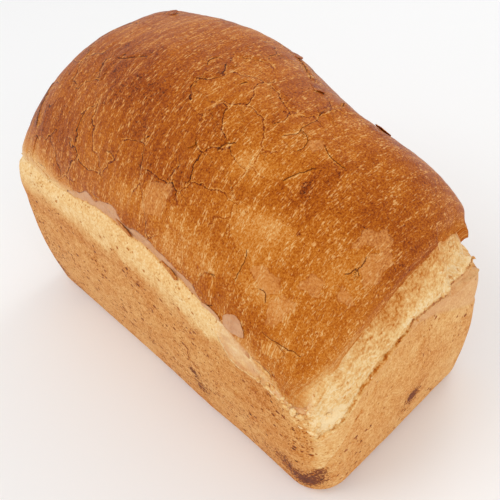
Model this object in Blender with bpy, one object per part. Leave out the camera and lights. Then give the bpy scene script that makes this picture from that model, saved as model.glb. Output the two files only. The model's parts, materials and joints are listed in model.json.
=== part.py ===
"""A tall white tin loaf, uncut, as one solid. Metres, +Z up.

The origin is in the middle of the footprint, on the surface that the loaf stands on. X runs along the
loaf, and +X is the end where the crust has torn open. Up to the rim the loaf has the shape of the tin.
Above the rim it has risen into a crown, which stands back from the torn end and sinks a little along one
shoulder.
"""

import math

import bmesh
import bpy
import numpy as np

# The tin's part of the loaf, up to the rim
RIM_HEIGHT = 0.0664
RIM_HALF_LENGTH = 0.1050
RIM_HALF_WIDTH = 0.0560
CORNER_RADIUS = 0.0149  # of the four upright corners
BASE_RADIUS = 0.0065  # of the edge round the base
END_TAPER = 0.0012  # how much further in the ends stand at the base than at the rim
SIDE_TAPER = 0.0049  # the same for the long sides
WALL_SWELL = 0.0020  # how far the walls bow out between base and rim

# The crown, from the rim to the top
CROWN_HEIGHT = 0.0820
CROWN_OVERHANG = 0.0013  # how far the crown bulges out past the rim, just above it
OVERHANG_REACH = 0.6  # share of the crown's height at which the bulge has ended
END_BULGE_POWER = 6  # how closely the bulge keeps to the ends
SIDE_BULGE_POWER = 3  # and to the long sides
PEAK_ALONG = -0.28  # place of the highest point, from -1 to 1 along the loaf
PEAK_ACROSS = 0.12
ARCH_TO_MINUS_X = (3.07, 2.21)  # powers p and q of the arch on each side of the peak
ARCH_TO_PLUS_X = (2.16, 2.36)
ARCH_TO_MINUS_Y = (2.00, 2.29)
ARCH_TO_PLUS_Y = (3.86, 3.43)

# Soft hollows in the crown: place along, place across, reach along, reach across, depth as a share of height
HOLLOWS = (
    (0.46, 0.88, 0.33, 0.30, 0.195),
    (-0.53, 0.00, 0.20, 2.00, 0.043),
)

# The torn end: a band of soft crumb that slopes in from a fold near the tin's rim to under the crust's edge
BURST_DEPTH = 0.0028  # how far in the band goes at its top, below the crust's edge
BURST_TOP = 0.0905  # height of the crust's edge at the middle of the end
BURST_BOTTOM = 0.0745  # height of the fold under the band, there
BURST_DROP = 0.0170  # how much lower both run at the -Y corner
FAR_BURST_DROP = 0.0050  # and at the +Y corner
FAR_CORNER_SETBACK = 0.0060  # how far the crown stands back from the rim at the +X +Y corner
FAR_CORNER_REACH = 0.034  # how far along both walls that goes
CRUST_LIP = 0.0080  # height over which the crust's edge comes back out above the band
FOLD_LIP = 0.0012  # how far the fold under the band stands out
FOLD_WIDTH = 0.005  # half the width of that fold, up and down
BURST_STARTS = 0.80  # share of the half length from where the band begins to sink in
BURST_IS_FULL = 0.92  # and from where it has its full depth

# Cells of the mesh along X, Y and Z
CELLS_ALONG = 48
CELLS_ACROSS = 30
CELLS_UP = 13
BASE_EDGE_CELLS = 3
CROWDING = 0.25  # how much the cells along X crowd towards the torn end, from 0 to 0.5
ARCH_SAMPLES = 4001  # steps used to space the cells evenly along an arch
NEARLY_ONE = 0.999  # a point of the gridded box past this lies on its outer face

SHARP_ANGLE = math.radians(50)  # edges sharper than this aren't shaded smooth

CRUST_EDGE_HEIGHT = 0.086  # where the brown crust of the crown begins


def arch(place, peak, low_side, high_side):
    """1 at the peak and 0 at both ends: (1 - u^p)^(1/q), with u the share of the way from peak to end."""
    below = np.clip((peak - place) / (1 + peak), 0, 1)
    above = np.clip((place - peak) / (1 - peak), 0, 1)
    falling = (1 - below ** low_side[0]) ** (1 / low_side[1])
    rising = (1 - above ** high_side[0]) ** (1 / high_side[1])
    return np.where(place < peak, falling, rising)


def arch_along(s):
    return arch(s, PEAK_ALONG, ARCH_TO_MINUS_X, ARCH_TO_PLUS_X)


def arch_across(t):
    return arch(t, PEAK_ACROSS, ARCH_TO_MINUS_Y, ARCH_TO_PLUS_Y)


def smooth(low, high, value):
    """0 below low, 1 above high, and a cubic between."""
    x = np.clip((value - low) / (high - low), 0, 1)
    return x * x * (3 - 2 * x)


def bump(value):
    """A bell that is 1 at 0."""
    return np.exp(-value * value)


def even_places(curve, half_length, height, parameter):
    """Maps -1..1 to places from -1 to 1 that are evenly spaced along the arch, so steep ends get cells too."""
    places = np.sin(np.linspace(-math.pi / 2, math.pi / 2, ARCH_SAMPLES))
    steps = np.hypot(np.diff(places) * half_length, np.diff(curve(places)) * height)
    run = np.concatenate([[0], np.cumsum(steps)])
    return np.interp((parameter + 1) / 2, run / run[-1], places)


def round_corners(x, y, half_length, half_width, radius):
    """Moves points of a rectangle onto one with round corners, by the square-to-disc map in each corner's square."""
    inner_x = np.clip(x, radius - half_length, half_length - radius)
    inner_y = np.clip(y, radius - half_width, half_width - radius)
    over_x = (x - inner_x) / radius
    over_y = (y - inner_y) / radius
    round_x = inner_x + radius * over_x * np.sqrt(1 - over_y**2 / 2)
    round_y = inner_y + radius * over_y * np.sqrt(1 - over_x**2 / 2)
    return round_x, round_y


def crown_points(s, t):
    """The crown over the rim's rectangle: the product of the two arches, less the hollows."""
    share = arch_along(s) * arch_across(t)
    hollow = sum(
        depth * bump((s - along) / reach_along) * bump((t - across) / reach_across)
        for along, across, reach_along, reach_across, depth in HOLLOWS
    )
    z = RIM_HEIGHT + CROWN_HEIGHT * share * (1 - hollow)
    overhang = CROWN_OVERHANG * np.sin(math.pi * np.clip(share / OVERHANG_REACH, 0, 1))
    half_length, half_width = RIM_HALF_LENGTH, RIM_HALF_WIDTH
    x, y = round_corners(s * half_length, t * half_width, half_length, half_width, CORNER_RADIUS)
    bulge_x = overhang * np.sign(s) * np.abs(s) ** END_BULGE_POWER
    bulge_y = overhang * np.sign(t) * np.abs(t) ** SIDE_BULGE_POWER
    return x + bulge_x, y + bulge_y, z


def wall_points(s, t, rise):
    """The walls, for rise from 0 at the base to 1 at the rim: a quarter round, then up with taper and swell."""
    share_of_edge = BASE_EDGE_CELLS / CELLS_UP
    angle = np.clip(rise / share_of_edge, 0, 1) * math.pi / 2
    straight = np.clip((rise - share_of_edge) / (1 - share_of_edge), 0, 1)
    inset = BASE_RADIUS * (1 - np.sin(angle))
    z = BASE_RADIUS * (1 - np.cos(angle)) + straight * (RIM_HEIGHT - BASE_RADIUS)
    height = z / RIM_HEIGHT
    swell = WALL_SWELL * np.sin(math.pi * height)
    half_length = RIM_HALF_LENGTH - END_TAPER * (1 - height) + swell - inset
    half_width = RIM_HALF_WIDTH - SIDE_TAPER * (1 - height) + swell - inset
    x, y = round_corners(s * half_length, t * half_width, half_length, half_width, CORNER_RADIUS - inset / 2)
    return x, y, z


def tear_open_the_end(x, y, z):
    """Slopes the +X end's band in under the crust's edge, pushes out its fold, and sets the far corner back."""
    across = y / RIM_HALF_WIDTH
    drop = np.where(y < 0, BURST_DROP, FAR_BURST_DROP) * across**2
    top = BURST_TOP - drop
    bottom = BURST_BOTTOM - drop
    slope = np.clip((z - bottom) / (top - bottom), 0, 1) * (1 - smooth(top, top + CRUST_LIP, z))
    at_end = smooth(BURST_STARTS, BURST_IS_FULL, x / RIM_HALF_LENGTH)
    to_corner = np.hypot(RIM_HALF_LENGTH - x, RIM_HALF_WIDTH - y) - CORNER_RADIUS / 2
    at_corner = 1 - smooth(0, FAR_CORNER_REACH, to_corner)
    fold = bump((z - bottom) / FOLD_WIDTH)
    setback = FAR_CORNER_SETBACK * at_corner * smooth(RIM_HEIGHT, BURST_TOP, z)
    return x + at_end * (FOLD_LIP * fold - BURST_DEPTH * slope) - setback, y - setback, z


def gridded_box():
    """A cube from -1 to 1, cut into cells along each axis."""
    mesh = bmesh.new()
    bmesh.ops.create_cube(mesh, size=2)
    for axis, cells in enumerate((CELLS_ALONG, CELLS_ACROSS, CELLS_UP)):
        edges = [edge for edge in mesh.edges if abs(edge.verts[0].co[axis] - edge.verts[1].co[axis]) > 0.1]
        bmesh.ops.subdivide_edges(mesh, edges=edges, cuts=cells - 1, use_grid_fill=True)
    underside = [face for face in mesh.faces if face.calc_center_median().z < -NEARLY_ONE]
    bmesh.ops.dissolve_faces(mesh, faces=underside, use_verts=True)
    return mesh


def shape_loaf(mesh):
    """Moves each point of the box to its place on the loaf: the top becomes the crown, and the sides the walls."""
    box = np.array([vert.co for vert in mesh.verts])
    crowded = box[:, 0] + CROWDING * (1 - box[:, 0] ** 2)
    s = even_places(arch_along, RIM_HALF_LENGTH, CROWN_HEIGHT, crowded)
    t = even_places(arch_across, RIM_HALF_WIDTH, CROWN_HEIGHT, box[:, 1])
    on_top = box[:, 2] > NEARLY_ONE
    crown = np.stack(crown_points(s, t), axis=1)
    walls = np.stack(wall_points(s, t, (box[:, 2] + 1) / 2), axis=1)
    points = np.stack(tear_open_the_end(*np.where(on_top[:, None], crown, walls).T), axis=1)
    middle = (points.min(axis=0) + points.max(axis=0)) / 2
    points[:, :2] -= middle[:2]
    for vert, point in zip(mesh.verts, points):
        vert.co = point


def bread_material(name, colour, roughness):
    material = bpy.data.materials.new(name)
    material.use_nodes = True
    shader = material.node_tree.nodes["Principled BSDF"]
    shader.inputs["Base Color"].default_value = (*colour, 1)
    shader.inputs["Roughness"].default_value = roughness
    return material


def make_loaf(collection):
    grid = gridded_box()
    shape_loaf(grid)
    bmesh.ops.recalc_face_normals(grid, faces=grid.faces)
    data = bpy.data.meshes.new("loaf")
    grid.to_mesh(data)
    grid.free()
    data.materials.append(bread_material("crown_crust", (0.46, 0.17, 0.035), 0.35))
    data.materials.append(bread_material("tin_side_crust", (0.70, 0.43, 0.17), 0.60))
    for face in data.polygons:
        face.material_index = 0 if face.center.z > CRUST_EDGE_HEIGHT else 1
    data.shade_smooth()
    data.set_sharp_from_angle(angle=SHARP_ANGLE)
    collection.objects.link(bpy.data.objects.new("loaf", data))


def main():
    for old in list(bpy.data.objects):
        bpy.data.objects.remove(old)
    collection = bpy.data.collections.new("tin_loaf")
    bpy.context.scene.collection.children.link(collection)
    make_loaf(collection)


main()
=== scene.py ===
import json
import math

import bpy
import numpy as np
from mathutils import Matrix, Vector

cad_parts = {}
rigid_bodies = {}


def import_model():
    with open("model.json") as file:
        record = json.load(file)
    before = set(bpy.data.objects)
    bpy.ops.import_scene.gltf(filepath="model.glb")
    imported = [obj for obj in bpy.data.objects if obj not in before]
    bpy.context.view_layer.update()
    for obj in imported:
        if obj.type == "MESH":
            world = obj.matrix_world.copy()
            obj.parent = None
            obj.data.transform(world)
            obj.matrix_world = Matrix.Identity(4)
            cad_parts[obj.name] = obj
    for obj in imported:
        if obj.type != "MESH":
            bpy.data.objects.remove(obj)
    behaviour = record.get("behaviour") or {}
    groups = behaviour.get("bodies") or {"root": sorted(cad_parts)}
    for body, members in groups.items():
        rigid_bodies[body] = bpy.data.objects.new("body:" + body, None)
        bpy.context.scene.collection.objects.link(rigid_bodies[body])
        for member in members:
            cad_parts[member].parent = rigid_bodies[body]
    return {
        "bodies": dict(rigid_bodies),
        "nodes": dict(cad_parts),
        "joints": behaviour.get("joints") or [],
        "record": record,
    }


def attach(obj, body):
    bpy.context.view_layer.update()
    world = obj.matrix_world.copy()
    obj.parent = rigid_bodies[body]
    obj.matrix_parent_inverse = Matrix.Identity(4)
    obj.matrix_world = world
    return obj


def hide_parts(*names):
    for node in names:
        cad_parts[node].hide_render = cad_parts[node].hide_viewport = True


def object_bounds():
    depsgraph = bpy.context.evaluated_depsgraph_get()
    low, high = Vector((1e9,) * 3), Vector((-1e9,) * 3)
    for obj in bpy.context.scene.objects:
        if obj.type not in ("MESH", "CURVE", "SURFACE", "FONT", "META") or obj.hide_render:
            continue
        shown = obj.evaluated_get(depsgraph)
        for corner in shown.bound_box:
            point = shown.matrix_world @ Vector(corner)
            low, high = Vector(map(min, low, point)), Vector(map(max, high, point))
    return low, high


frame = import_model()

cadLow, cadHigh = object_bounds()
mm = 0.001
print("frame loaded:", sorted(frame["nodes"]))

# The camera looks down on the corner between the torn end and one long side
viewpoint = {
    "azimuth": 51.1,
    "elevation": 43.2,
    "distance": 0.3367,
    "target": (0.00826, 0.00339, 0.0500),
    "roll": -6.62,
    "lens": 50.0,
}


def makeCamera():
    turn, rise = math.radians(viewpoint["azimuth"]), math.radians(viewpoint["elevation"])
    back = Vector((math.sin(turn) * math.cos(rise), -math.cos(turn) * math.cos(rise), math.sin(rise)))
    right = Vector((0, 0, 1)).cross(back).normalized()
    up = back.cross(right)
    axes = Matrix((right, up, back)).transposed().to_4x4()
    data = bpy.data.cameras.new("loafCamera")
    data.lens = viewpoint["lens"]
    data.sensor_width = 36
    data.clip_start = 0.01
    camera = bpy.data.objects.new("loafCamera", data)
    place = Matrix.Translation(Vector(viewpoint["target"]) + back * viewpoint["distance"])
    camera.matrix_world = place @ axes @ Matrix.Rotation(math.radians(viewpoint["roll"]), 4, "Z")
    bpy.context.scene.collection.objects.link(camera)
    bpy.context.scene.camera = camera


makeCamera()

# Soft studio light: bright surroundings, one large soft box above and to the left, and a weaker one behind
studio = {
    "surroundings": (1.0, 1.0, 1.0),
    "surroundingStrength": 0.75,
    "lights": (  # name, place, size, watts
        ("keyBox", (-0.35, -0.75, 1.05), 0.7, 3.6),
        ("fillBox", (0.95, -0.20, 0.55), 0.8, 2.0),
        ("backBox", (-0.20, 0.95, 0.90), 0.6, 2.4),
    ),
    "floorSize": 6.0,
    "floorTint": (0.92, 0.92, 0.92),
}


def makeStudio():
    scene = bpy.context.scene
    scene.view_settings.view_transform = "Standard"
    world = bpy.data.worlds.new("studioWorld")
    world.use_nodes = True
    background = world.node_tree.nodes["Background"]
    background.inputs["Color"].default_value = (*studio["surroundings"], 1)
    background.inputs["Strength"].default_value = studio["surroundingStrength"]
    scene.world = world
    for name, place, size, watts in studio["lights"]:
        data = bpy.data.lights.new(name, "AREA")
        data.shape = "DISK"
        data.size = size
        data.energy = watts
        lamp = bpy.data.objects.new(name, data)
        lamp.location = place
        aim = Vector((0, 0, 0.06)) - Vector(place)
        lamp.rotation_euler = aim.to_track_quat("-Z", "Y").to_euler()
        scene.collection.objects.link(lamp)
    bpy.ops.mesh.primitive_plane_add(size=studio["floorSize"], location=(0, 0, cadLow.z - 0.0002))
    floor = bpy.context.object
    floor.name = "studioFloor"
    paint = bpy.data.materials.new("floorPaint")
    paint.use_nodes = True
    shader = paint.node_tree.nodes["Principled BSDF"]
    shader.inputs["Base Color"].default_value = (*studio["floorTint"], 1)
    shader.inputs["Roughness"].default_value = 0.9
    floor.data.materials.append(paint)


makeStudio()
print("camera, lights and floor are in place")

# The loaf's own form, in metres, with the same sizes as its solid
loafForm = {
    "rimHeight": 0.0664,
    "rimHalfLength": 0.1050,
    "rimHalfWidth": 0.0560,
    "cornerRadius": 0.0149,
    "baseRadius": 0.0065,
    "endTaper": 0.0012,
    "sideTaper": 0.0049,
    "wallSwell": 0.0020,
    "crownHeight": 0.0820,
    "crownOverhang": 0.0013,
    "overhangReach": 0.6,
    "endBulgePower": 6,
    "sideBulgePower": 3,
    "peakAlong": -0.28,
    "peakAcross": 0.12,
    "archToMinusX": (3.07, 2.21),
    "archToPlusX": (2.16, 2.36),
    "archToMinusY": (2.00, 2.29),
    "archToPlusY": (3.86, 3.43),
    "hollows": ((0.46, 0.88, 0.33, 0.30, 0.195), (-0.53, 0.00, 0.20, 2.00, 0.043)),
    "burstDepth": 0.0028,
    "burstStarts": 0.80,
    "burstIsFull": 0.92,
    "crustLip": 0.0080,
    "foldLip": 0.0012,
    "foldWidth": 0.005,
    "farCornerSetback": 0.0060,
    "farCornerReach": 0.034,
}
form = loafForm


# 0 below low, 1 above high, and 3x^2 - 2x^3 between
def smoothStep(low, high, value):
    x = np.clip((value - low) / (high - low), 0, 1)
    return x * x * (3 - 2 * x)


# exp(-v^2): 1 at 0, gone at 2
def bell(value):
    return np.exp(-value * value)


# (1 - u^p)^(1/q) on each side of the peak, where u is the share of the way from the peak to that end
def archCurve(place, peak, lowSide, highSide):
    below = np.clip((peak - place) / (1 + peak), 0, 1)
    above = np.clip((place - peak) / (1 - peak), 0, 1)
    falling = (1 - below ** lowSide[0]) ** (1 / lowSide[1])
    rising = (1 - above ** highSide[0]) ** (1 / highSide[1])
    return np.where(place < peak, falling, rising)


def archAlong(s):
    return archCurve(s, form["peakAlong"], form["archToMinusX"], form["archToPlusX"])


def archAcross(t):
    return archCurve(t, form["peakAcross"], form["archToMinusY"], form["archToPlusY"])


# The running length of an arch, so that steps of -1..1 can be spaced evenly along it
def arcTable(curve, halfLength, height, samples=4001):
    places = np.sin(np.linspace(-math.pi / 2, math.pi / 2, samples))
    steps = np.hypot(np.diff(places) * halfLength, np.diff(curve(places)) * height)
    run = np.concatenate([[0], np.cumsum(steps)])
    return {"place": places, "even": 2 * run / run[-1] - 1, "length": run[-1]}


alongTable = arcTable(archAlong, form["rimHalfLength"], form["crownHeight"])
acrossTable = arcTable(archAcross, form["rimHalfWidth"], form["crownHeight"])


def evenToPlace(table, even):
    return np.interp(even, table["even"], table["place"])


def placeToEven(table, place):
    return np.interp(place, table["place"], table["even"])


# A rectangle's corner square becomes a quarter disc: x sqrt(1 - y^2/2), y sqrt(1 - x^2/2)
def roundCorners(x, y, halfLength, halfWidth, radius):
    innerX = np.clip(x, radius - halfLength, halfLength - radius)
    innerY = np.clip(y, radius - halfWidth, halfWidth - radius)
    overX = (x - innerX) / radius
    overY = (y - innerY) / radius
    return (
        innerX + radius * overX * np.sqrt(1 - overY**2 / 2),
        innerY + radius * overY * np.sqrt(1 - overX**2 / 2),
    )


# Height of the crust's edge over the torn end, in millimetres: a climb from -Y to a step, then a fall
def tornEdgeHeight(y):
    y = y / mm
    climb = 92.4 - 17 * np.clip((15 - y) / 66, 0, 2) ** 1.35
    return (climb + 3.6 * smoothStep(22, 25.5, y) - 7.5 * np.clip((y - 24) / 24, 0, 2) ** 1.3) * mm


# The crust's edge all round: the -Y side swells in the middle and falls towards the torn end, and the two
# hidden sides are gentler. Within 7 mm of a corner one side's line passes into the next
def crustEdgeHeight(x, y):
    ends = tornEdgeHeight(y)
    x, y = x / mm, y / mm
    minusY = 90.5 + 5.5 * bell((x + 12) / 34) - 23.5 * np.clip((x - 8) / 90, 0, 2) ** 2.2
    plusY = 86 + 3 * bell((x + 30) / 40) - 6 * smoothStep(40, 98, x)
    minusX = 88.5 + 2.5 * bell(y / 30)
    ends = np.where(x > 0, ends, minusX * mm)
    sides = np.where(y > 0, plusY, minusY) * mm
    toEnds = smoothStep(-7, 7, (np.abs(x) - 105) - (np.abs(y) - 56))
    return sides + (ends - sides) * toEnds


# Height of the torn band's lower edge on the +X end, in millimetres: level, then falling towards -Y
def burstFootHeight(y):
    y = y / mm
    return (77 - 19 * np.clip((3 - y) / 48, 0, 2) ** 1.6 - 4 * smoothStep(3, 35, y)) * mm


# The crown over the rim's rectangle: rim + height * archAlong(s) * archAcross(t) * (1 - hollows)
def crownPoints(s, t):
    share = archAlong(s) * archAcross(t)
    hollow = sum(
        depth * bell((s - along) / reachAlong) * bell((t - across) / reachAcross)
        for along, across, reachAlong, reachAcross, depth in form["hollows"]
    )
    z = form["rimHeight"] + form["crownHeight"] * share * (1 - hollow)
    overhang = form["crownOverhang"] * np.sin(math.pi * np.clip(share / form["overhangReach"], 0, 1))
    halfLength, halfWidth = form["rimHalfLength"], form["rimHalfWidth"]
    x, y = roundCorners(s * halfLength, t * halfWidth, halfLength, halfWidth, form["cornerRadius"])
    x = x + overhang * np.sign(s) * np.abs(s) ** form["endBulgePower"]
    y = y + overhang * np.sign(t) * np.abs(t) ** form["sideBulgePower"]
    return np.stack([x, y, z], axis=-1)


# The walls up to the rim: a quarter round of the base radius, then up with a linear taper and a sine swell
def wallPoints(s, t, z):
    radius = form["baseRadius"]
    inset = radius * (1 - np.sqrt(np.clip(1 - np.clip((radius - z) / radius, 0, 1) ** 2, 0, 1)))
    height = z / form["rimHeight"]
    swell = form["wallSwell"] * np.sin(math.pi * height)
    halfLength = form["rimHalfLength"] - form["endTaper"] * (1 - height) + swell - inset
    halfWidth = form["rimHalfWidth"] - form["sideTaper"] * (1 - height) + swell - inset
    x, y = roundCorners(s * halfLength, t * halfWidth, halfLength, halfWidth, form["cornerRadius"] - inset / 2)
    return np.stack([x, y, z + 0 * x], axis=-1)


# The +X end sinks in from the band's foot to under the crust's edge, with a fold at its foot, and the far
# corner stands back in two torn steps
def tearOpenTheEnd(points, crust):
    x, y, z = points[..., 0], points[..., 1], points[..., 2]
    top = tornEdgeHeight(y)
    foot = burstFootHeight(y)
    slope = np.clip((z - foot) / (top - foot), 0, 1) * (1 - smoothStep(top, top + form["crustLip"], z))
    atEnd = smoothStep(form["burstStarts"], form["burstIsFull"], x / form["rimHalfLength"])
    toCorner = np.hypot(form["rimHalfLength"] - x, form["rimHalfWidth"] - y) - form["cornerRadius"] / 2
    atCorner = 1 - smoothStep(0, form["farCornerReach"], toCorner)
    fold = bell((z - foot) / form["foldWidth"])
    if crust:
        setback = form["farCornerSetback"] * atCorner * 0.42
    else:
        ledge = (69.5 - 6.0 * smoothStep(46, 53, y / mm)) * mm
        lowStep = 3.0 * mm * smoothStep(-0.6 * mm, 0.8 * mm, z - ledge)
        highStep = 2.8 * mm * smoothStep(7.2 * mm, 8.6 * mm, z - ledge)
        setback = (lowStep + highStep) * smoothStep(0.10, 0.45, atCorner)
        slope = slope * (0.40 + 0.60 * smoothStep(0, 30 * mm, y))
    out = points.copy()
    out[..., 0] += atEnd * (form["foldLip"] * fold - form["burstDepth"] * slope) - setback
    out[..., 1] -= setback
    return out


def crownSurface(a, b, crust=True):
    return tearOpenTheEnd(crownPoints(evenToPlace(alongTable, a), evenToPlace(acrossTable, b)), crust)


# Smooth noise from -1 to 1: random values on a lattice of cubes, joined with 3x^2 - 2x^3
def softNoise(points, cell, seed=0):
    grid = np.asarray(points) / cell
    base = np.floor(grid).astype(np.int64)
    part = grid - base
    part = part * part * (3 - 2 * part)
    total = 0
    for corner in range(8):
        step = np.array([corner & 1, corner >> 1 & 1, corner >> 2 & 1])
        i, j, k = np.moveaxis(base + step, -1, 0)
        mixed = (i * 374761393 + j * 668265263 + k * 1440662683 + seed * 974634777) & 0xFFFFFFFF
        mixed = ((mixed ^ (mixed >> 13)) * 1274126177) & 0xFFFFFFFF
        value = ((mixed ^ (mixed >> 16)) & 0xFFFF) / 32767.5 - 1
        total = total + value * np.prod(np.where(step, part, 1 - part), axis=-1)
    return total


# Noise laid over itself, each layer half the size and half the strength of the last
def layeredNoise(points, cell, layers, seed=0):
    return sum(softNoise(points, cell / 2**n, seed + n) / 2**n for n in range(layers))


def unit(vectors):
    return vectors / np.maximum(np.linalg.norm(vectors, axis=-1, keepdims=True), 1e-12)


# Outward directions of a grid of points: the cross product of its two runs
def gridNormals(points, wrapColumns=False):
    if wrapColumns:
        along = np.roll(points, -1, axis=1) - np.roll(points, 1, axis=1)
    else:
        along = np.gradient(points, axis=1)
    up = np.gradient(points, axis=0)
    return unit(np.cross(along, up))


# Quads of a grid of rows by columns, counter-clockwise from outside
def gridQuads(rows, columns, wrap=False, first=0):
    last = columns if wrap else columns - 1
    row, column = np.meshgrid(np.arange(rows - 1), np.arange(last), indexing="ij")
    after = (column + 1) % columns
    quads = [row * columns + column, row * columns + after, (row + 1) * columns + after, (row + 1) * columns + column]
    return np.stack(quads, axis=-1).reshape(-1, 4) + first


def makePiece(name, points, quads, material, attributes, triangles=None):
    points = np.asarray(points, np.float32).reshape(-1, 3)
    corners = [quads.ravel()] + ([] if triangles is None else [triangles.ravel()])
    corners = np.concatenate(corners).astype(np.int32)
    triangleCount = 0 if triangles is None else len(triangles)
    starts = np.concatenate([np.arange(len(quads)) * 4, quads.size + np.arange(triangleCount) * 3])
    mesh = bpy.data.meshes.new(name)
    mesh.vertices.add(len(points))
    mesh.vertices.foreach_set("co", points.ravel())
    mesh.loops.add(len(corners))
    mesh.loops.foreach_set("vertex_index", corners)
    mesh.polygons.add(len(starts))
    mesh.polygons.foreach_set("loop_start", starts.astype(np.int32))
    mesh.update(calc_edges=True)
    mesh.validate()
    for key, values in attributes.items():
        values = np.asarray(values, np.float32)
        kind = "FLOAT" if values.size == len(points) else "FLOAT_VECTOR"
        layer = mesh.attributes.new(key, kind, "POINT")
        layer.data.foreach_set("value" if kind == "FLOAT" else "vector", values.ravel())
    mesh.shade_smooth()
    mesh.materials.append(material)
    piece = bpy.data.objects.new(name, mesh)
    bpy.context.scene.collection.objects.link(piece)
    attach(piece, "root")
    print(name, "has", len(points), "points and", len(quads), "faces")
    return piece


# Where the crust's edge lies: for each place on the square's border, the scale at which the crown reaches it
borderCount = 1600


def borderPlaces(count):
    turn = np.arange(count) / count * 8
    side = np.floor(turn / 2).astype(int)
    run = turn - 2 * side - 1
    a = np.choose(side, [run, 1 + 0 * run, -run, -1 + 0 * run])
    b = np.choose(side, [-1 + 0 * run, run, 1 + 0 * run, -run])
    return a, b


# From a point of the square to its place round the border, counted from 0 to 8 from the -X -Y corner
def borderTurn(a, b):
    m = np.maximum(np.maximum(np.abs(a), np.abs(b)), 1e-9)
    a, b = a / m, b / m
    onMinusY = (b <= -1 + 1e-9) & (a < 1)
    onPlusX = (a >= 1 - 1e-9) & (b < 1)
    onPlusY = (b >= 1 - 1e-9) & (a > -1)
    return np.select([onMinusY, onPlusX, onPlusY], [a + 1, b + 3, 5 - a], 7 - b)


def raggedEdge(x, y):
    place = np.stack([x, y, 0 * x], axis=-1)
    smooth = crustEdgeHeight(x, y)
    atEnd = smoothStep(80 * mm, 98 * mm, x)
    slow = 0.9 * softNoise(place, 11 * mm, 3) + 0.5 * softNoise(place, 4 * mm, 4)
    quick = 0.30 * softNoise(place, 1.7 * mm, 5)
    torn = 1.5 * softNoise(place, 5.5 * mm, 6) + 1.1 * softNoise(place, 2.4 * mm, 7)
    return smooth + mm * (slow + quick + torn * atEnd)


def findEdgeScale():
    a, b = borderPlaces(borderCount)
    scales = np.linspace(1, 0.55, 300)[:, None]
    s = evenToPlace(alongTable, a * scales)
    t = evenToPlace(acrossTable, b * scales)
    points = crownPoints(s, t)
    wanted = raggedEdge(points[..., 0], points[..., 1])
    reached = points[..., 2] >= wanted
    first = np.argmax(reached, axis=0)
    column = np.arange(borderCount)
    above = (points[..., 2] - wanted)[first, column]
    below = (points[..., 2] - wanted)[np.maximum(first - 1, 0), column]
    share = np.clip(-below / np.maximum(above - below, 1e-9), 0, 1)
    step = scales[0, 0] - scales[1, 0]
    return scales[np.maximum(first - 1, 0), 0] - share * step


edgeScale = findEdgeScale()


def edgeScaleAt(a, b):
    turn = borderTurn(a, b) / 8 * borderCount
    return np.interp(turn, np.arange(borderCount + 1), np.append(edgeScale, edgeScale[0]))


# All points sit where the solid has them: its origin is the middle of the widest outline
outline = wallPoints(*[evenToPlace(t, p) for t, p in zip((alongTable, acrossTable), borderPlaces(800))], 0.045)
crownRing = crownSurface(*[p * 0.93 for p in borderPlaces(800)])
everything = np.concatenate([outline, crownRing])
recentre = (everything.max(axis=0) + everything.min(axis=0)) / 2 * np.array([1, 1, 0])
print("the loaf's outline is off centre by", np.round(recentre / mm, 2), "mm")


# Shader helpers: a value that is a socket is linked, any other value is set
def plug(tree, socket, value):
    if isinstance(value, bpy.types.NodeSocket):
        tree.links.new(value, socket)
    elif value is not None:
        socket.default_value = value


def addNode(tree, kind, inputs=None, **settings):
    made = tree.nodes.new(kind)
    for key, value in settings.items():
        setattr(made, key, value)
    for key, value in (inputs or {}).items():
        plug(tree, made.inputs[key], value)
    return made


def calc(tree, operation, first, second=None, third=None, clamp=False):
    made = addNode(tree, "ShaderNodeMath", operation=operation, use_clamp=clamp)
    for socket, value in zip(made.inputs, (first, second, third)):
        plug(tree, socket, value)
    return made.outputs[0]


# 0 below low, 1 above high, smooth between; low above high turns it round
def fadeIn(tree, value, low, high, toLow=0.0, toHigh=1.0):
    made = addNode(tree, "ShaderNodeMapRange", interpolation_type="SMOOTHSTEP")
    for key, number in zip(("Value", "From Min", "From Max", "To Min", "To Max"), (value, low, high, toLow, toHigh)):
        plug(tree, made.inputs[key], number)
    return made.outputs["Result"]


def mixTint(tree, share, first, second, blend="MIX"):
    made = addNode(tree, "ShaderNodeMix", data_type="RGBA", blend_type=blend)
    plug(tree, made.inputs["Factor"], share)
    plug(tree, made.inputs["A"], first)
    plug(tree, made.inputs["B"], second)
    return made.outputs["Result"]


def splitAttribute(tree, name):
    read = addNode(tree, "ShaderNodeAttribute", attribute_name=name)
    return addNode(tree, "ShaderNodeSeparateXYZ", {"Vector": read.outputs["Vector"]}).outputs


# Each axis of a vector times its own factor
def stretch(tree, vector, factors):
    made = addNode(tree, "ShaderNodeVectorMath", {0: vector, 1: factors}, operation="MULTIPLY")
    return made.outputs["Vector"]


def noiseValue(tree, vector, scale, detail=2.0, roughness=0.5, distortion=0.0):
    made = addNode(tree, "ShaderNodeTexNoise", {"Vector": vector, "Scale": scale, "Detail": detail})
    plug(tree, made.inputs["Roughness"], roughness)
    plug(tree, made.inputs["Distortion"], distortion)
    return made.outputs["Fac"]


def newGroup(name, inputs, outputs):
    tree = bpy.data.node_groups.new(name, "ShaderNodeTree")
    for socketName, kind, value in inputs:
        socket = tree.interface.new_socket(name=socketName, in_out="INPUT", socket_type=kind)
        if value is not None:
            socket.default_value = value
    for socketName, kind in outputs:
        tree.interface.new_socket(name=socketName, in_out="OUTPUT", socket_type=kind)
    return tree, tree.nodes.new("NodeGroupInput").outputs, tree.nodes.new("NodeGroupOutput").inputs


def useGroup(tree, group, **inputs):
    made = addNode(tree, "ShaderNodeGroup", node_tree=group)
    for key, value in inputs.items():
        plug(tree, made.inputs[key], value)
    return made.outputs


# A colour as a screen shows it, from 0 to 255, turned into linear light
def tint(red, green, blue):
    parts = [value / 255 for value in (red, green, blue)]
    return tuple(c / 12.92 if c <= 0.04045 else ((c + 0.055) / 1.055) ** 2.4 for c in parts) + (1.0,)


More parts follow.
